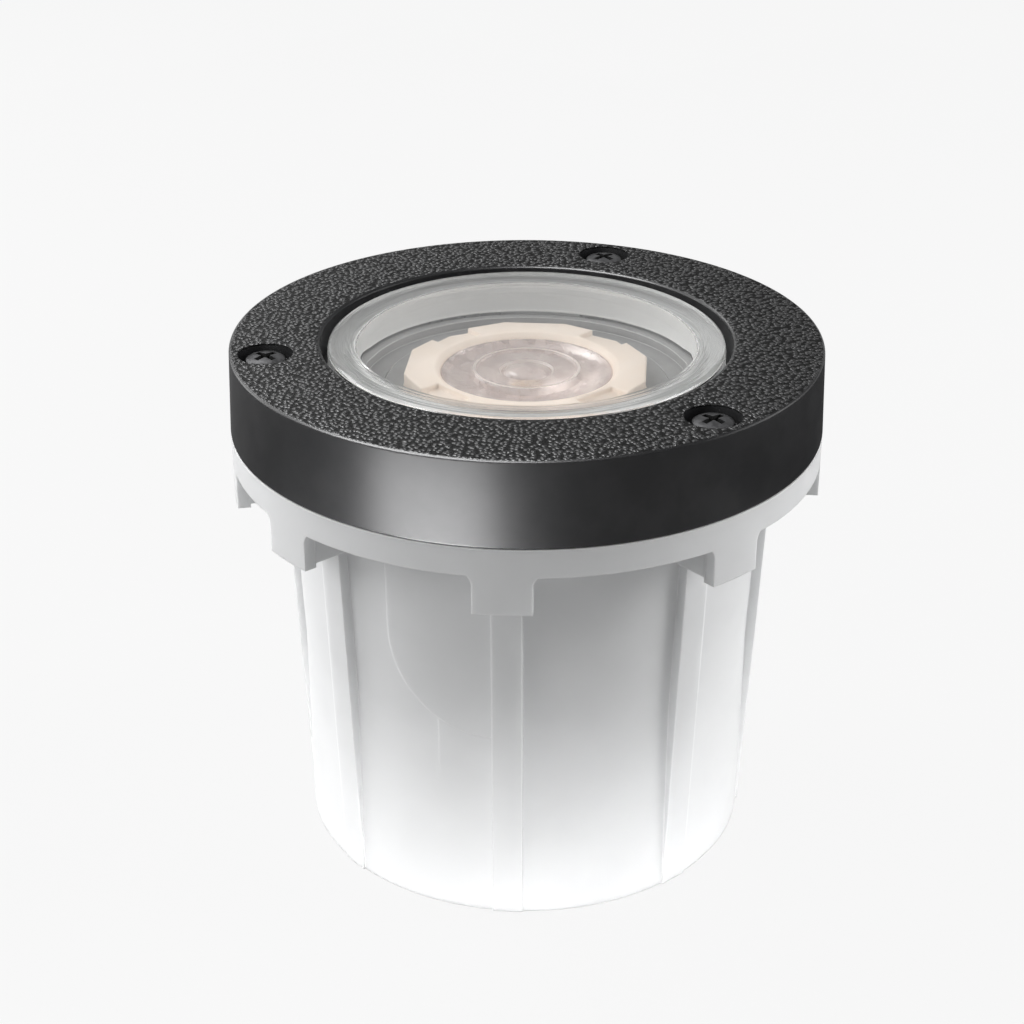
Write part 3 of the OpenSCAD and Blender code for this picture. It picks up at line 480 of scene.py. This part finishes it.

# %% [markdown]
# ### The grey cup
# The cup round the lamp is a satin grey moulding. Its turned steps show as pale rings, painted as a
# highlight along their edges. These could be modelled as thin strips, but a shader can find the edges by
# itself: it compares the rounded normal with the true one and lightens the colour where they differ.

# %% Finish of the cup
dish = Finish("dish_grey_satin", (0.33, 0.33, 0.33), 0.42)
dish.soft_edges(0.3 * MM, 4)
dish_patches = dish.ramp(dish.noise(9 * MM), 0.35, 0.65)
dish_tone = dish.blend(dish_patches, (0.31, 0.31, 0.31), (0.345, 0.345, 0.345))
# Painted highlight: the cup's edges are blended towards pale grey.
dish.feed(dish.shader.inputs["Base Color"], dish.blend(dish.edges(0.45 * MM), dish_tone, (0.85, 0.85, 0.85)))
dish.polish(1.5 * MM, 0.36, 0.5)
dish.grain(0.3 * MM, 0.008 * MM)
print("finish:", dish.material.name)

# %% [markdown]
# ### Glass
# The lens is pressed glass: clear in the middle, with fine rings left by the plunger in its rim. Its upright
# walls are ground, so they are paler and let little through, and the edges of the inner wall get two
# thin lines of painted highlight. The optic is a clear moulding with cloudy patches and frosted lines.
# Glass that casts a full shadow would leave the lamp in the dark. Caustics could light it, but they are
# slow and grainy, so shadow rays pass straight through with a tint.

# %% Finish of the lens and the optic
def clear(name, tint, roughness, ring_from, ring_size, depth, transmission=1.0):
    made = Finish(name, tint, roughness, Transmission_Weight=transmission, IOR=1.48)
    rings = made.node(
        "ShaderNodeTexNoise", {"noise_dimensions": "1D"}, W=made.radius(), Scale=1 / ring_size, Detail=2.0
    )
    mask = made.ramp(made.radius(), ring_from, ring_from + 0.6 * MM)
    made.relief(made.calc("MULTIPLY", rings.outputs["Fac"], mask), depth)
    made.feed(made.shader.inputs["Roughness"], made.ramp(mask, 0.0, 1.0, roughness, roughness + 0.10))
    out = made.nodes["Material Output"]
    path = made.node("ShaderNodeLightPath")
    thin = made.node("ShaderNodeBsdfTransparent", Color=(*tint, 1))
    choose = made.node("ShaderNodeMixShader")
    made.feed(choose.inputs[0], path.outputs["Is Shadow Ray"])
    made.feed(choose.inputs[1], made.shader.outputs["BSDF"])
    made.feed(choose.inputs[2], thin.outputs["BSDF"])
    made.feed(out.inputs["Surface"], choose.outputs["Shader"])
    return made


ground_from = 36.0 * MM
lens_glass = clear("lens_glass_pressed", (0.97, 0.972, 0.968), 0.01, 37.2 * MM, 0.6 * MM, 0.11 * MM)
lens_side = clear("lens_side_ground", (0.90, 0.90, 0.90), 0.5, ground_from, 0.5 * MM, 0.12 * MM, 0.2)
turned_tone = lens_side.node(
    "ShaderNodeTexNoise", {"noise_dimensions": "1D"}, W=lens_side.radius(), Scale=1 / (0.9 * MM), Detail=3.0
)
turned_marks = lens_side.ramp(turned_tone.outputs["Fac"], 0.4, 0.6)
ground_tone = lens_side.blend(turned_marks, (0.66, 0.665, 0.66), (0.88, 0.885, 0.88))
lens_side.feed(lens_side.shader.inputs["Base Color"], ground_tone)
# Painted highlight: a pale ground strip for the two thin bright lines of the inner wall.
lens_painted_line = clear("lens_painted_line_ground", (0.93, 0.93, 0.92), 0.35, ground_from, 0.5 * MM, 0.02 * MM, 0.1)
optic_clear = clear("optic_clear_moulded", (0.74, 0.66, 0.63), 0.08, 0.0, 1.4 * MM, 0.05 * MM, 0.7)
cloudy = optic_clear.ramp(optic_clear.noise(3.2 * MM, 4.0, 0.65), 0.42, 0.6)
cloudy_tone = optic_clear.blend(cloudy, (0.97, 0.89, 0.86), (0.74, 0.66, 0.64))
optic_clear.feed(optic_clear.shader.inputs["Base Color"], cloudy_tone)
optic_line = clear("optic_line_frosted", (0.86, 0.80, 0.76), 0.2, 0.0, 1.4 * MM, 0.02 * MM, 0.5)
print("glass finishes are ready, the last is", optic_line.material.name)

# %% [markdown]
# ## Cover ring
# The ring is one casting: a thick top plate with a round opening, an inner collar that goes over the lens
# gasket, an outer rim and three bosses for the screws. A stack of cylinders would need a Boolean for each
# step, so it is turned from its half section instead, and the roundings are points of that section.

# %% Turn the ring
ring_edge = 0.6 * MM
opening_edge = 0.6 * MM
plate_t = 6.0 * MM
bore_r = opening_r + 6.3 * MM
collar_wall = 2.4 * MM
rim_wall = 3.2 * MM
plate_z = ring_top_z - plate_t

section = [(bore_r, seat_z), (bore_r + collar_wall, seat_z), (bore_r + collar_wall, plate_z)]
section += [(rim_r - rim_wall, plate_z), (rim_r - rim_wall, seat_z)]
section += arc(rim_r - ring_edge, seat_z + ring_edge, ring_edge, -90, 0)
section += arc(ring_r - ring_edge, ring_top_z - ring_edge, ring_edge, 0, 90)
section += arc(opening_r + opening_edge, ring_top_z - opening_edge, opening_edge, 90, 180)
section += [(opening_r, plate_z), (bore_r, plate_z), (bore_r, seat_z)]
ring = turned("cover_ring_cast", section, 256)
print("ring faces:", len(ring.data.polygons))

# %% [markdown]
# Each screw stands in a round well in the top plate, over a boss. The boss is a cylinder whose inner side
# is cut flat inside the collar's wall, so that it doesn't reach into the bore.
# The three could be made once and copied, but each is joined to the ring, so a loop makes them in place.

# %% Add the bosses and cut the screw wells
screw_angles = [75, 195, 315]
screw_r = ring_r - 7.6 * MM
boss_r = 6.7 * MM
boss_flat_r = bore_r + 0.8 * MM
boss_h = plate_z - seat_z + plate_t / 3
head_well_r = 5.85 * MM
head_well_depth = 3.0 * MM
head_well_z = ring_top_z - head_well_depth
shank_hole_r = 2.8 * MM
hair = 0.02 * MM


def at_screw(angle):
    return Vector((screw_r * math.cos(math.radians(angle)), screw_r * math.sin(math.radians(angle)), 0))


for angle in screw_angles:
    spot = at_screw(angle)
    bpy.ops.object.select_all(action="DESELECT")
    bpy.ops.mesh.primitive_cylinder_add(
        vertices=64, radius=boss_r, depth=boss_h, location=(spot.x, spot.y, seat_z + hair + boss_h / 2)
    )
    boss = bpy.context.active_object
    outward = spot.normalized()
    open_mesh(boss)
    bpy.ops.mesh.select_all(action="SELECT")
    bpy.ops.mesh.bisect(
        plane_co=outward * boss_flat_r, plane_no=outward, use_fill=True, clear_inner=True, threshold=MERGE
    )
    close_mesh()
    combine(ring, boss, "UNION")

for angle in screw_angles:
    cutter = turned(
        "well_cutter",
        [(0, seat_z - MM), (shank_hole_r, seat_z - MM), (shank_hole_r, head_well_z),
         (head_well_r, head_well_z), (head_well_r, ring_top_z + MM), (0, ring_top_z + MM)],
        64,
    )
    cutter.data.transform(Matrix.Translation(at_screw(angle)))
    combine(ring, cutter, "DIFFERENCE")
print("ring with wells:", len(ring.data.polygons))

# %% [markdown]
# The mouths of the wells are rounded in the casting. A Bevel modifier would round every sharp edge of the
# ring, so only the edges that lie on a mouth's circle are picked and bevelled.

# %% Round the mouths of the wells and finish the ring
mouth_round = 0.35 * MM


def on_well_mouth(one, two):
    if min(one.z, two.z) < ring_top_z - hair:
        return False
    for middle in (at_screw(a).xy for a in screw_angles):
        if all(abs((end.xy - middle).length - head_well_r) < hair for end in (one, two)):
            return True
    return False


mouths = round_edges(ring, mouth_round, on_well_mouth)
finish_piece(ring, "cover", cast.material, ["cover_ring"])
print("rounded edges at the wells:", mouths)

# %% [markdown]
# ## Cover screws
# The screws are pan heads with a cross recess, dark and slightly worn. The head and shank are turned, and
# the recess is cut by two tapered bars. A true thread would need a helix, but only its ridges can be seen,
# so the shank has a row of rings.

# %% Model one screw
head_r = 4.3 * MM
head_h = 2.0 * MM
head_z = head_well_z + 0.6 * MM
head_side = 0.9 * MM
head_round = 0.15 * MM
dome_start = head_z + head_side
shank_r = 2.5 * MM
tip_z = screw_low.z
pitch = 0.8 * MM
thread_depth = 0.35 * MM
cross_w = 1.5 * MM
cross_len = 6.0 * MM
cross_depth = 1.3 * MM
cross_taper = (0.8, 0.75, 1)

section = [(0, tip_z), (shank_r - thread_depth, tip_z)]
turns = int((seat_z - tip_z) / pitch)
for k in range(turns):
    section += [(shank_r, tip_z + (k + 0.5) * pitch), (shank_r - thread_depth, tip_z + (k + 1) * pitch)]
section += [(shank_r, seat_z + pitch), (shank_r, head_z)]
section += [(head_r - head_round, head_z), (head_r, head_z + head_round), (head_r, dome_start)]
for angle in (math.radians(a) for a in (14, 28, 42, 56, 70, 82)):
    rise = (head_h - head_side) * math.sin(angle) ** 0.8
    section += [(head_r * math.cos(angle), dome_start + rise)]
section += [(0, head_z + head_h)]
screw = turned("screw_model", section, 48)

for turn in (0, 90):
    bpy.ops.object.select_all(action="DESELECT")
    bpy.ops.mesh.primitive_cube_add(
        size=1, location=(0, 0, head_z + head_h), scale=(cross_len, cross_w, 2 * cross_depth)
    )
    bar = bpy.context.active_object
    bpy.ops.object.transform_apply(location=True, rotation=True, scale=True)
    open_mesh(bar, "FACE")
    pick_faces(bar, lambda middle, normal: normal.z < -0.9)
    bpy.ops.transform.resize(value=cross_taper, center_override=(0, 0, head_z))
    close_mesh()
    bar.data.transform(Matrix.Rotation(math.radians(turn), 4, "Z"))
    combine(screw, bar, "DIFFERENCE")
print("screw faces:", len(screw.data.polygons))

# %% [markdown]
# The three screws are copies with their own mesh, each turned a little, as they stop where they are tight.
# Linked copies would save memory, but then no one of them could be changed alone. The faces of the recess
# get near black painted shade as a second material.

# %% Place the three screws
cross_turns = [45, 52, 48]
recess_r = head_r - 0.9 * MM
recess_floor_z = head_z + head_h - cross_depth / 2
for number, (angle, cross) in enumerate(zip(screw_angles, cross_turns), 1):
    twin = copy_turned(screw, "cover_screw_%d" % number, cross)
    twin.data.transform(Matrix.Translation(at_screw(angle)))
    finish_piece(twin, "cover", screw_steel, ["cover_screws"] if number == 1 else [])
    # The recess faces get the painted shade as their second material.
    twin.data.materials.append(recess_painted_shade)
    for face in twin.data.polygons:
        from_axis = (face.center.xy - at_screw(angle).xy).length
        upright = abs(face.normal.z) < 0.6 and face.center.z > dome_start
        sunk = face.normal.z > 0.9 and face.center.z < recess_floor_z
        inside_head = from_axis < recess_r and face.center.z > head_z
        face.material_index = int(inside_head and (upright or sunk))
bpy.data.objects.remove(screw)

# %% [markdown]
# ## Lens
# The lens is a shallow glass cap with a crowned top. Its rim is a thick wall that ends in a wider step,
# which the rubber gasket grips. Inside it is hollow, so that it clears the lamp.
# A sphere cut by planes would need the step added, so the whole section is turned at once. Its top and its
# hollow are arcs of large balls.

# %% Turn the lens
lens_r = opening_r - 1.5 * MM
hollow_r = lens_r - 5.7 * MM
lens_edge = 1.2 * MM
glass_t = 4.2 * MM
step_t = 4.0 * MM
step_edge = 0.3 * MM
neck = 0.4 * MM
crown = 2.2 * MM
rim_z = crown_z - crown
step_top_z = step_low_z + step_t


def crown_points(radius, height, rise, count):
    """Points of a shallow dome from the axis out to a radius."""
    ball = (radius ** 2 + rise ** 2) / (2 * rise)
    radii = [radius * i / count for i in range(count + 1)]
    return [(r, height + rise - ball + math.sqrt(ball ** 2 - r ** 2)) for r in radii]


fillet = 1.2 * MM
line_w = 0.4 * MM
outside = [p for p in crown_points(lens_r, rim_z, crown, 24) if p[0] < lens_r - lens_edge]
inside = crown_points(hollow_r, rim_z - glass_t, crown * hollow_r / lens_r, 20)
section = outside + arc(lens_r - lens_edge, rim_z - lens_edge + 0.1 * MM, lens_edge, 84, 0, 8)
section += [(lens_r, step_top_z + neck), (lens_r + neck, step_top_z), (step_r - step_edge, step_top_z)]
section += [(step_r, step_top_z - step_edge), (step_r, step_low_z + step_edge)]
section += [(step_r - step_edge, step_low_z)]
line_z = step_low_z + step_edge + line_w
ceiling = [p for p in inside if p[0] < hollow_r - fillet]
fillet_z = ceiling[-1][1] - fillet
section += [(hollow_r + step_edge, step_low_z), (hollow_r, step_low_z + step_edge), (hollow_r, line_z)]
section += arc(hollow_r - fillet, fillet_z, fillet, 0, 84, 8)
section += list(reversed(ceiling))
lens = turned("lens_cap", section, 384)
finish_piece(lens, "cover", lens_glass.material, ["lens"], 40)

# %% [markdown]
# The upright walls are ground and the inner wall ends in two thin lines of painted highlight. They could be
# pieces of their own, but glass that touches glass shows a false seam, so only the faces' materials differ.

# %% Give the lens its ground faces
lens.data.materials.append(lens_side.material)
lens.data.materials.append(lens_painted_line.material)
for face in lens.data.polygons:
    out, up = face.center.xy.length, face.center.z
    outside_wall = out > lens_r - 0.2 * MM and up < rim_z - lens_edge
    inside_wall = out > hollow_r - 0.1 * MM and up < fillet_z
    # The two thin strips at the ends of the inner wall carry the painted highlight.
    top_line = hollow_r - line_w < out < hollow_r and fillet_z < up < rim_z - glass_t / 2
    low_line = out < hollow_r + 0.01 * MM and step_low_z < up < line_z
    face.material_index = 2 if top_line or low_line else int(outside_wall or inside_wall)
print("ground faces:", sum(face.material_index > 0 for face in lens.data.polygons))

# %% [markdown]
# The rubber gasket wraps the glass step. Its upper lip reaches in almost to the glass wall, so that the
# gap between the lens and the ring is black. A torus would be the quick way, but it would leave the corners
# of the groove empty, so the gasket is turned from a U-shaped section with round lips.

# %% Turn the gasket
gasket_low, gasket_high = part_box("lens_gasket")
gasket_r = gasket_high.x
upper_lip_r = lens_r + 0.35 * MM
lower_lip_r = step_r - 3.3 * MM
lip_set_back = 0.5 * MM


def lip(inner_r, low, high):
    """The round lip between two heights, from its top round to its bottom."""
    return arc(inner_r + lip_set_back, (low + high) / 2, (high - low) / 2, 90, 270)


section = [(gasket_r, gasket_low.z), (gasket_r, gasket_high.z)]
section += lip(upper_lip_r, step_top_z, gasket_high.z)
section += [(step_r, step_top_z), (step_r, step_low_z)]
section += lip(lower_lip_r, gasket_low.z, step_low_z)
section += [(gasket_r, gasket_low.z)]
gasket = turned("lens_gasket_ring", section)
finish_piece(gasket, "cover", seal_rubber, ["lens_gasket"], 40)

# %% [markdown]
# ## Lamp
# The lamp's face is a cream ring with twelve sides round a clear optic. Four shallow pockets are open to
# the outside, as vents, and leave a thin lip round the optic. Extruding a flat outline would give the ring,
# but not the tapered bore and the pockets, so a twelve-sided cylinder is bored and cut with boxes.

# %% Model the face ring
face_z = collar_high.z
collar_foot_z = collar_low.z
collar_r = max(v.co.xy.length for v in nodes_in_frame["lamp_collar"].data.vertices)
optic_r = 18.65 * MM
bore_taper = 1.1 * MM
side_turn = math.radians(15)
vent_w = 10.4 * MM
vent_depth = (face_z - collar_foot_z) / 3
vent_start = optic_r + bore_taper + 0.9 * MM
first_vent = 47

bpy.ops.object.select_all(action="DESELECT")
bpy.ops.mesh.primitive_cylinder_add(
    vertices=12, radius=collar_r, depth=face_z - collar_foot_z,
    location=(0, 0, (face_z + collar_foot_z) / 2), rotation=(0, 0, side_turn),
)
face_ring = bpy.context.active_object
face_ring.name = "lamp_face_ring"
bpy.ops.object.transform_apply(location=True, rotation=True, scale=True)
bore = turned(
    "bore_cutter",
    [(0, collar_foot_z - MM), (optic_r, collar_foot_z - MM), (optic_r, face_z - bore_taper),
     (optic_r + bore_taper, face_z), (optic_r + 2 * bore_taper, face_z + MM), (0, face_z + MM)],
    96,
)
combine(face_ring, bore, "DIFFERENCE")
for k in range(4):
    bpy.ops.object.select_all(action="DESELECT")
    bpy.ops.mesh.primitive_cube_add(
        size=1, location=(vent_start + vent_w / 2, 0, face_z), scale=(vent_w, vent_w, 2 * vent_depth)
    )
    vent = bpy.context.active_object
    bpy.ops.object.transform_apply(location=True, rotation=True, scale=True)
    open_mesh(vent, "VERT")
    bpy.ops.mesh.select_all(action="SELECT")
    turn = -math.radians(first_vent + 90 * k)
    bpy.ops.transform.rotate(value=turn, orient_axis="Z", center_override=(0, 0, 0))
    close_mesh()
    combine(face_ring, vent, "DIFFERENCE")
print("face ring faces:", len(face_ring.data.polygons))

# %% [markdown]
# A moulded edge is never sharp. Here every edge of the ring may be rounded alike, so a Bevel modifier with
# an angle limit is quicker than picking edges.

# %% Bevel and finish the face ring
soft = face_ring.modifiers.new("soft", "BEVEL")
soft.width = 0.35 * MM
soft.segments = 3
soft.limit_method = "ANGLE"
soft.angle_limit = math.radians(28)
apply_all(face_ring)
finish_piece(face_ring, "lamp_holder", lamp_skin, ["lamp_collar"], 40)

# %% [markdown]
# The optic is a clear moulding: a disc with a raised ring and a small lens in the middle, over a cone
# that gathers the light of the emitter below. Between the ring and the rim the disc dips a little.
# All of it is round, so one turned section is simpler than a disc with rings added to it.

# %% Turn the optic
optic_top_z = face_z - 1.1 * MM
optic_foot_z = optic_low.z
disc_t = 1.8 * MM
disc_r = optic_high.x
disc_edge = 0.3 * MM
ring_at = 11.3 * MM
bead = 0.6 * MM
eye_r = 5.0 * MM
eye_sink = 0.5 * MM
lip_r = eye_r + 0.9 * MM
cone_r = 5.4 * MM
led_r = 3.6 * MM
led_h = 0.7 * MM
trough_depth = 1.2 * MM
trough_from = ring_at + bead
trough_to = disc_r - 0.9 * MM

section = [(0, optic_top_z + bead)]
for angle in (math.radians(a) for a in (15, 30, 45, 60, 75)):
    rise = (bead + eye_sink) * math.cos(angle)
    section += [(eye_r * math.sin(angle), optic_top_z - eye_sink + rise)]
section += [(eye_r, optic_top_z - eye_sink), (eye_r + eye_sink, optic_top_z - eye_sink)]
section += [(lip_r, optic_top_z)]
section += arc(ring_at, optic_top_z, bead, 180, 0, 6)
section += [(trough_from + 0.3 * MM, optic_top_z - 0.8 * trough_depth)]
for share in (0.3, 0.45, 0.6, 0.72, 0.82, 0.91):
    sink = trough_depth * (1 - ((share - 0.3) / 0.7) ** 2)
    section += [(trough_from + share * (trough_to - trough_from), optic_top_z - sink)]
section += [(trough_to, optic_top_z), (disc_r - disc_edge, optic_top_z), (disc_r, optic_top_z - disc_edge)]
section += [(disc_r, optic_top_z - disc_t), (disc_r - disc_t, optic_top_z - disc_t)]
section += [(cone_r, optic_foot_z), (led_r, optic_foot_z)]
section += [(led_r, optic_foot_z + led_h), (0, optic_foot_z + led_h)]
optic = turned("optic_moulding", section, 128)
finish_piece(optic, "lamp_holder", optic_clear.material, ["lamp_optic"], 40)
optic.data.materials.append(optic_line.material)
for face in optic.data.polygons:
    out = face.center.xy.length
    on_bead = abs(out - ring_at) < 0.6 * bead and face.center.z > optic_top_z
    on_lip = eye_r + 0.4 * MM < out < lip_r and face.center.z > optic_top_z - 0.6 * MM
    face.material_index = int(on_bead or on_lip)
print("frosted faces:", sum(face.material_index for face in optic.data.polygons))

# %% [markdown]
# ## Solids of the frame
# The well, the cup and all that is held inside already have their true shape in the frame. Modelling them
# again would only risk a mistake, so they keep it and get their finishes, and the soft edges in each
# finish round what the solids leave sharp.

# %% Give the frame's solids their finishes
finish_of = {
    "head_seals": seal_rubber, "cover_seal": seal_rubber,
    "gland_washer": seal_rubber, "gland_grommet": seal_rubber,
    "well_body": well.material, "threaded_inserts": insert_brass, "retaining_ring": spring_steel,
    "gland_body": gland_nylon, "gland_locknut": gland_nylon, "gland_cap": gland_nylon,
    "turntable": dish.material, "lamp_holder": dish.material,
    "pivot_screws": strap_steel, "friction_washers": washer_nylon, "socket_strap": strap_steel,
    "strap_screws": strap_steel, "socket_screws": strap_steel, "lamp_socket": socket_glaze,
    "socket_leads": lead_skin, "terminal_block": block_nylon, "terminal_screws": insert_brass,
    "lamp_heat_sink": sink_metal, "led_board": board_mask, "led_emitter": led_phosphor,
    "lamp_base": lamp_skin, "lamp_pins": pin_nickel,
}
for name, material in finish_of.items():
    for holder in nodes_in_frame[name].material_slots:
        holder.material = material
print("solids finished:", len(finish_of))

# %% [markdown]
# ## Stage and light
# The light stands on a plain pale floor. Lamps strong enough to make the floor white would burn out the
# pale body. So for the camera the floor and the world are mostly white of themselves, and the floor's own
# tone is low, which keeps the front of the well in its soft shade. Reflections and glass see that white
# floor too, and the white of the world up to a little above its horizon.

# %% Helper for white seen by the camera
def see_white(tree, output_socket, lit, white_share, seen_share=1.0):
    """Mixes a lit shader with plain white for camera, glossy and transmission rays."""
    nodes, links = tree.nodes, tree.links
    path = nodes.new("ShaderNodeLightPath")
    total = path.outputs["Is Camera Ray"]
    for ray in ("Is Glossy Ray", "Is Transmission Ray"):
        seen = nodes.new("ShaderNodeMath")
        seen.operation = "MULTIPLY"
        links.new(path.outputs[ray], seen.inputs[0])
        if isinstance(seen_share, bpy.types.NodeSocket):
            links.new(seen_share, seen.inputs[1])
        else:
            seen.inputs[1].default_value = seen_share
        more = nodes.new("ShaderNodeMath")
        more.operation = "MAXIMUM"
        links.new(total, more.inputs[0])
        links.new(seen.outputs["Value"], more.inputs[1])
        total = more.outputs["Value"]
    share = nodes.new("ShaderNodeMath")
    share.operation = "MULTIPLY"
    links.new(total, share.inputs[0])
    share.inputs[1].default_value = white_share
    on_floor = output_socket.node.type == "OUTPUT_MATERIAL"
    white = nodes.new("ShaderNodeEmission" if on_floor else "ShaderNodeBackground")
    white.inputs["Color"].default_value = (1, 1, 1, 1)
    white.inputs["Strength"].default_value = 1.0
    mix = nodes.new("ShaderNodeMixShader")
    links.new(share.outputs["Value"], mix.inputs[0])
    links.new(lit, mix.inputs[1])
    links.new(white.outputs[0], mix.inputs[2])
    links.new(mix.outputs[0], output_socket)


print("the helper for the white background is ready")

# %% [markdown]
# The floor is one large plane, which keeps a soft shadow under the object. Its tone varies a little, like
# paper. A curved backdrop would hide the horizon, but the camera looks down and never sees it.

# %% Floor
bpy.ops.object.select_all(action="DESELECT")
bpy.ops.mesh.primitive_plane_add(size=12)
floor = bpy.context.active_object
floor.name = "floor"
floor_white = 0.90
paper = Finish("floor_paper", (0.30, 0.30, 0.30), 0.9)
paper.tone(0.3, (0.29, 0.29, 0.29), (0.31, 0.31, 0.31))
paper_out = paper.nodes["Material Output"].inputs["Surface"]
see_white(paper.material.node_tree, paper_out, paper.shader.outputs["BSDF"], floor_white)
floor.data.materials.append(paper.material)
print("floor:", floor.name)

# %% [markdown]
# The world fills the shadows. It is brighter behind than in front, as in the photograph, where the back of
# the ring is lighter than the front of the body, and a little brighter straight above.
# A panorama picture would do this too, but two soft ramps over the direction need no file.

# %% World
world = bpy.data.worlds.new("studio")
bpy.context.scene.world = world
world.use_nodes = True
world_nodes, world_links = world.node_tree.nodes, world.node_tree.links
sky = world_nodes["Background"]
sky.inputs["Color"].default_value = (1, 1, 1, 1)
way = world_nodes.new("ShaderNodeTexCoord")
direction = world_nodes.new("ShaderNodeSeparateXYZ")
world_links.new(way.outputs["Generated"], direction.inputs[0])


def world_ramp(axis, start, end, at_start, at_end):
    """A number that changes with the direction, from one value to another."""
    made = world_nodes.new("ShaderNodeMapRange")
    made.interpolation_type = "SMOOTHSTEP"
    for place, number in zip(range(1, 5), (start, end, at_start, at_end)):
        made.inputs[place].default_value = number
    world_links.new(direction.outputs[axis], made.inputs["Value"])
    return made.outputs["Result"]


strength = world_nodes.new("ShaderNodeMath")
strength.operation = "ADD"
world_links.new(world_ramp("Y", -0.8, 0.8, 0.17, 0.42), strength.inputs[0])
world_links.new(world_ramp("Z", 0.6, 0.9, 0.0, 0.25), strength.inputs[1])
world_links.new(strength.outputs["Value"], sky.inputs["Strength"])
near_horizon = world_ramp("Z", 0.02, 0.14, 1.0, 0.0)
world_out = world_nodes["World Output"].inputs["Surface"]
see_white(world.node_tree, world_out, sky.outputs["Background"], 1.0, near_horizon)
print("world:", world.name)

# %% [markdown]
# Five lamps light the whole object. A broad key stands in front on the left and a weaker one behind, and
# two large lamps at the sides make the body bright at its edges and darker in front. A small one, aimed
# below the floor, lifts the foot, where the photograph fades to white. A single strong lamp would be
# simpler, but it would draw hard shadows under the tabs.

# %% Lamps
def soft_lamp(name, place, target, width, height, power):
    data = bpy.data.lights.new(name, "AREA")
    data.shape = "RECTANGLE"
    data.size = width
    data.size_y = height
    data.energy = power
    lamp = bpy.data.objects.new(name, data)
    bpy.context.scene.collection.objects.link(lamp)
    lamp.location = place
    lamp.rotation_euler = (Vector(target) - Vector(place)).to_track_quat("-Z", "Y").to_euler()
    lamp.visible_camera = False
    return lamp


middle = (0, 0, 0.07)
room_lamps = [
    ("key_back_left", (-0.40, 0.45, 0.75), middle, 0.5, 0.5, 1.4),
    ("key_front_left", (-0.66, -0.40, 0.52), middle, 0.5, 0.5, 2.6),
    ("side_right", (0.82, 0.12, 0.30), middle, 0.5, 0.6, 5.6),
    ("side_left", (-0.78, 0.32, 0.30), middle, 0.5, 0.6, 6.0),
    ("foot_front", (0.03, -0.38, 0.03), (0, 0, -0.09), 0.30, 0.04, 0.26),
]
for row in room_lamps:
    soft_lamp(*row)
bpy.data.lights["foot_front"].spread = math.radians(46)
print("lamps for the whole object:", len(room_lamps))

# %% [markdown]
# Five more lamps are there for gloss alone, so they brighten no matt surface. Two small ones low in front
# draw the soft stripe on the ring's side, a large one above gives the thin line along its front edge, and
# one behind glints on the tops of the pebbles. The fifth puts one glint on the optic.
# Highlights could be painted into the colour, but those would stay put when the piece turns. Light linking
# keeps each lamp to its own piece.

# %% Lamps for gloss
def receivers(name, piece):
    made = bpy.data.collections.new(name)
    made.objects.link(piece)
    return made


on_ring = receivers("glossy_pieces", ring)
on_optic = receivers("clear_pieces", optic)
ring_side = (-0.0187, -0.0612, 0.10)
ring_side_low = (-0.0187, -0.0612, 0.0962)
ring_edge_front = (-0.0132, -0.0621, 0.114)
gloss_lamps = [
    ("stripe_front", (-0.074, -0.162, 0.048), ring_side, 0.12, 0.08, 1.05, on_ring),
    ("stripe_low", (-0.045, -0.110, 0.016), ring_side_low, 0.06, 0.03, 0.6, on_ring),
    ("edge_top", (-0.202, -0.238, 0.483), ring_edge_front, 0.6, 0.35, 40.0, on_ring),
    ("grain_back", (-0.50, 0.78, 0.60), (0, 0, 0.114), 0.4, 0.3, 4.2, on_ring),
    ("glint_optic", (-0.31, 0.578, 0.72), (0.011, 0.011, 0.10), 0.14, 0.14, 2.6, on_optic),
]
for *row, linked_to in gloss_lamps:
    lamp = soft_lamp(*row)
    lamp.visible_diffuse = False
    lamp.visible_transmission = False
    lamp.light_linking.receiver_collection = linked_to
print("lamps for gloss:", len(gloss_lamps))

# %% [markdown]
# A glossy dark side mirrors the white floor at its two ends. A photographer lays dark cards there, outside
# the picture, to keep these ends dark. A darker floor would do it too, but then the background would lose
# its white. The cards lie on the floor behind both sides and are seen by reflections alone.

# %% Cards at both sides
def side_card(name, place, length, width, turn, tone):
    bpy.ops.object.select_all(action="DESELECT")
    bpy.ops.mesh.primitive_plane_add(size=1, location=place, rotation=(0, 0, math.radians(turn)))
    card = bpy.context.active_object
    card.name = name
    card.scale = (length, width, 1)
    bpy.ops.object.transform_apply(location=True, rotation=True, scale=True)
    board = Finish(name + "_board", (tone, tone, tone), 0.9)
    board.tone(0.05, (0.9 * tone,) * 3, (tone,) * 3)
    card.data.materials.append(board.material)
    card.visible_camera = False
    card.visible_diffuse = False
    card.visible_transmission = False
    card.visible_shadow = False


side_card("card_right", (0.276, 0.288, 0.001), 0.9, 0.52, -44, 0.03)
side_card("card_left", (-0.276, 0.288, 0.001), 0.9, 0.52, 44, 0.10)
print("cards are in place")

# %% [markdown]
# ## Camera
# The photograph looks down at about 27 degrees with a fairly long lens. The place could be found by trying,
# but the ellipses of the ring's edges tell it: their ratio gives the angle, and how the near and the far
# side differ gives the distance.

# %% Camera
focal_length = 70.04
sensor_width = 36.0
looks_down = 26.616
turned_left = 4.6
camera_data = bpy.data.cameras.new("camera")
camera_data.lens = focal_length
camera_data.sensor_width = sensor_width
camera = bpy.data.objects.new("camera", camera_data)
bpy.context.scene.collection.objects.link(camera)
camera.location = (28.86 * MM, -398.05 * MM, 271.98 * MM)
camera.rotation_euler = (math.radians(90 - looks_down), 0, math.radians(turned_left))
bpy.context.scene.camera = camera
bpy.context.scene.view_settings.view_transform = "Standard"
print("camera distance in mm:", round(camera.location.length / MM))
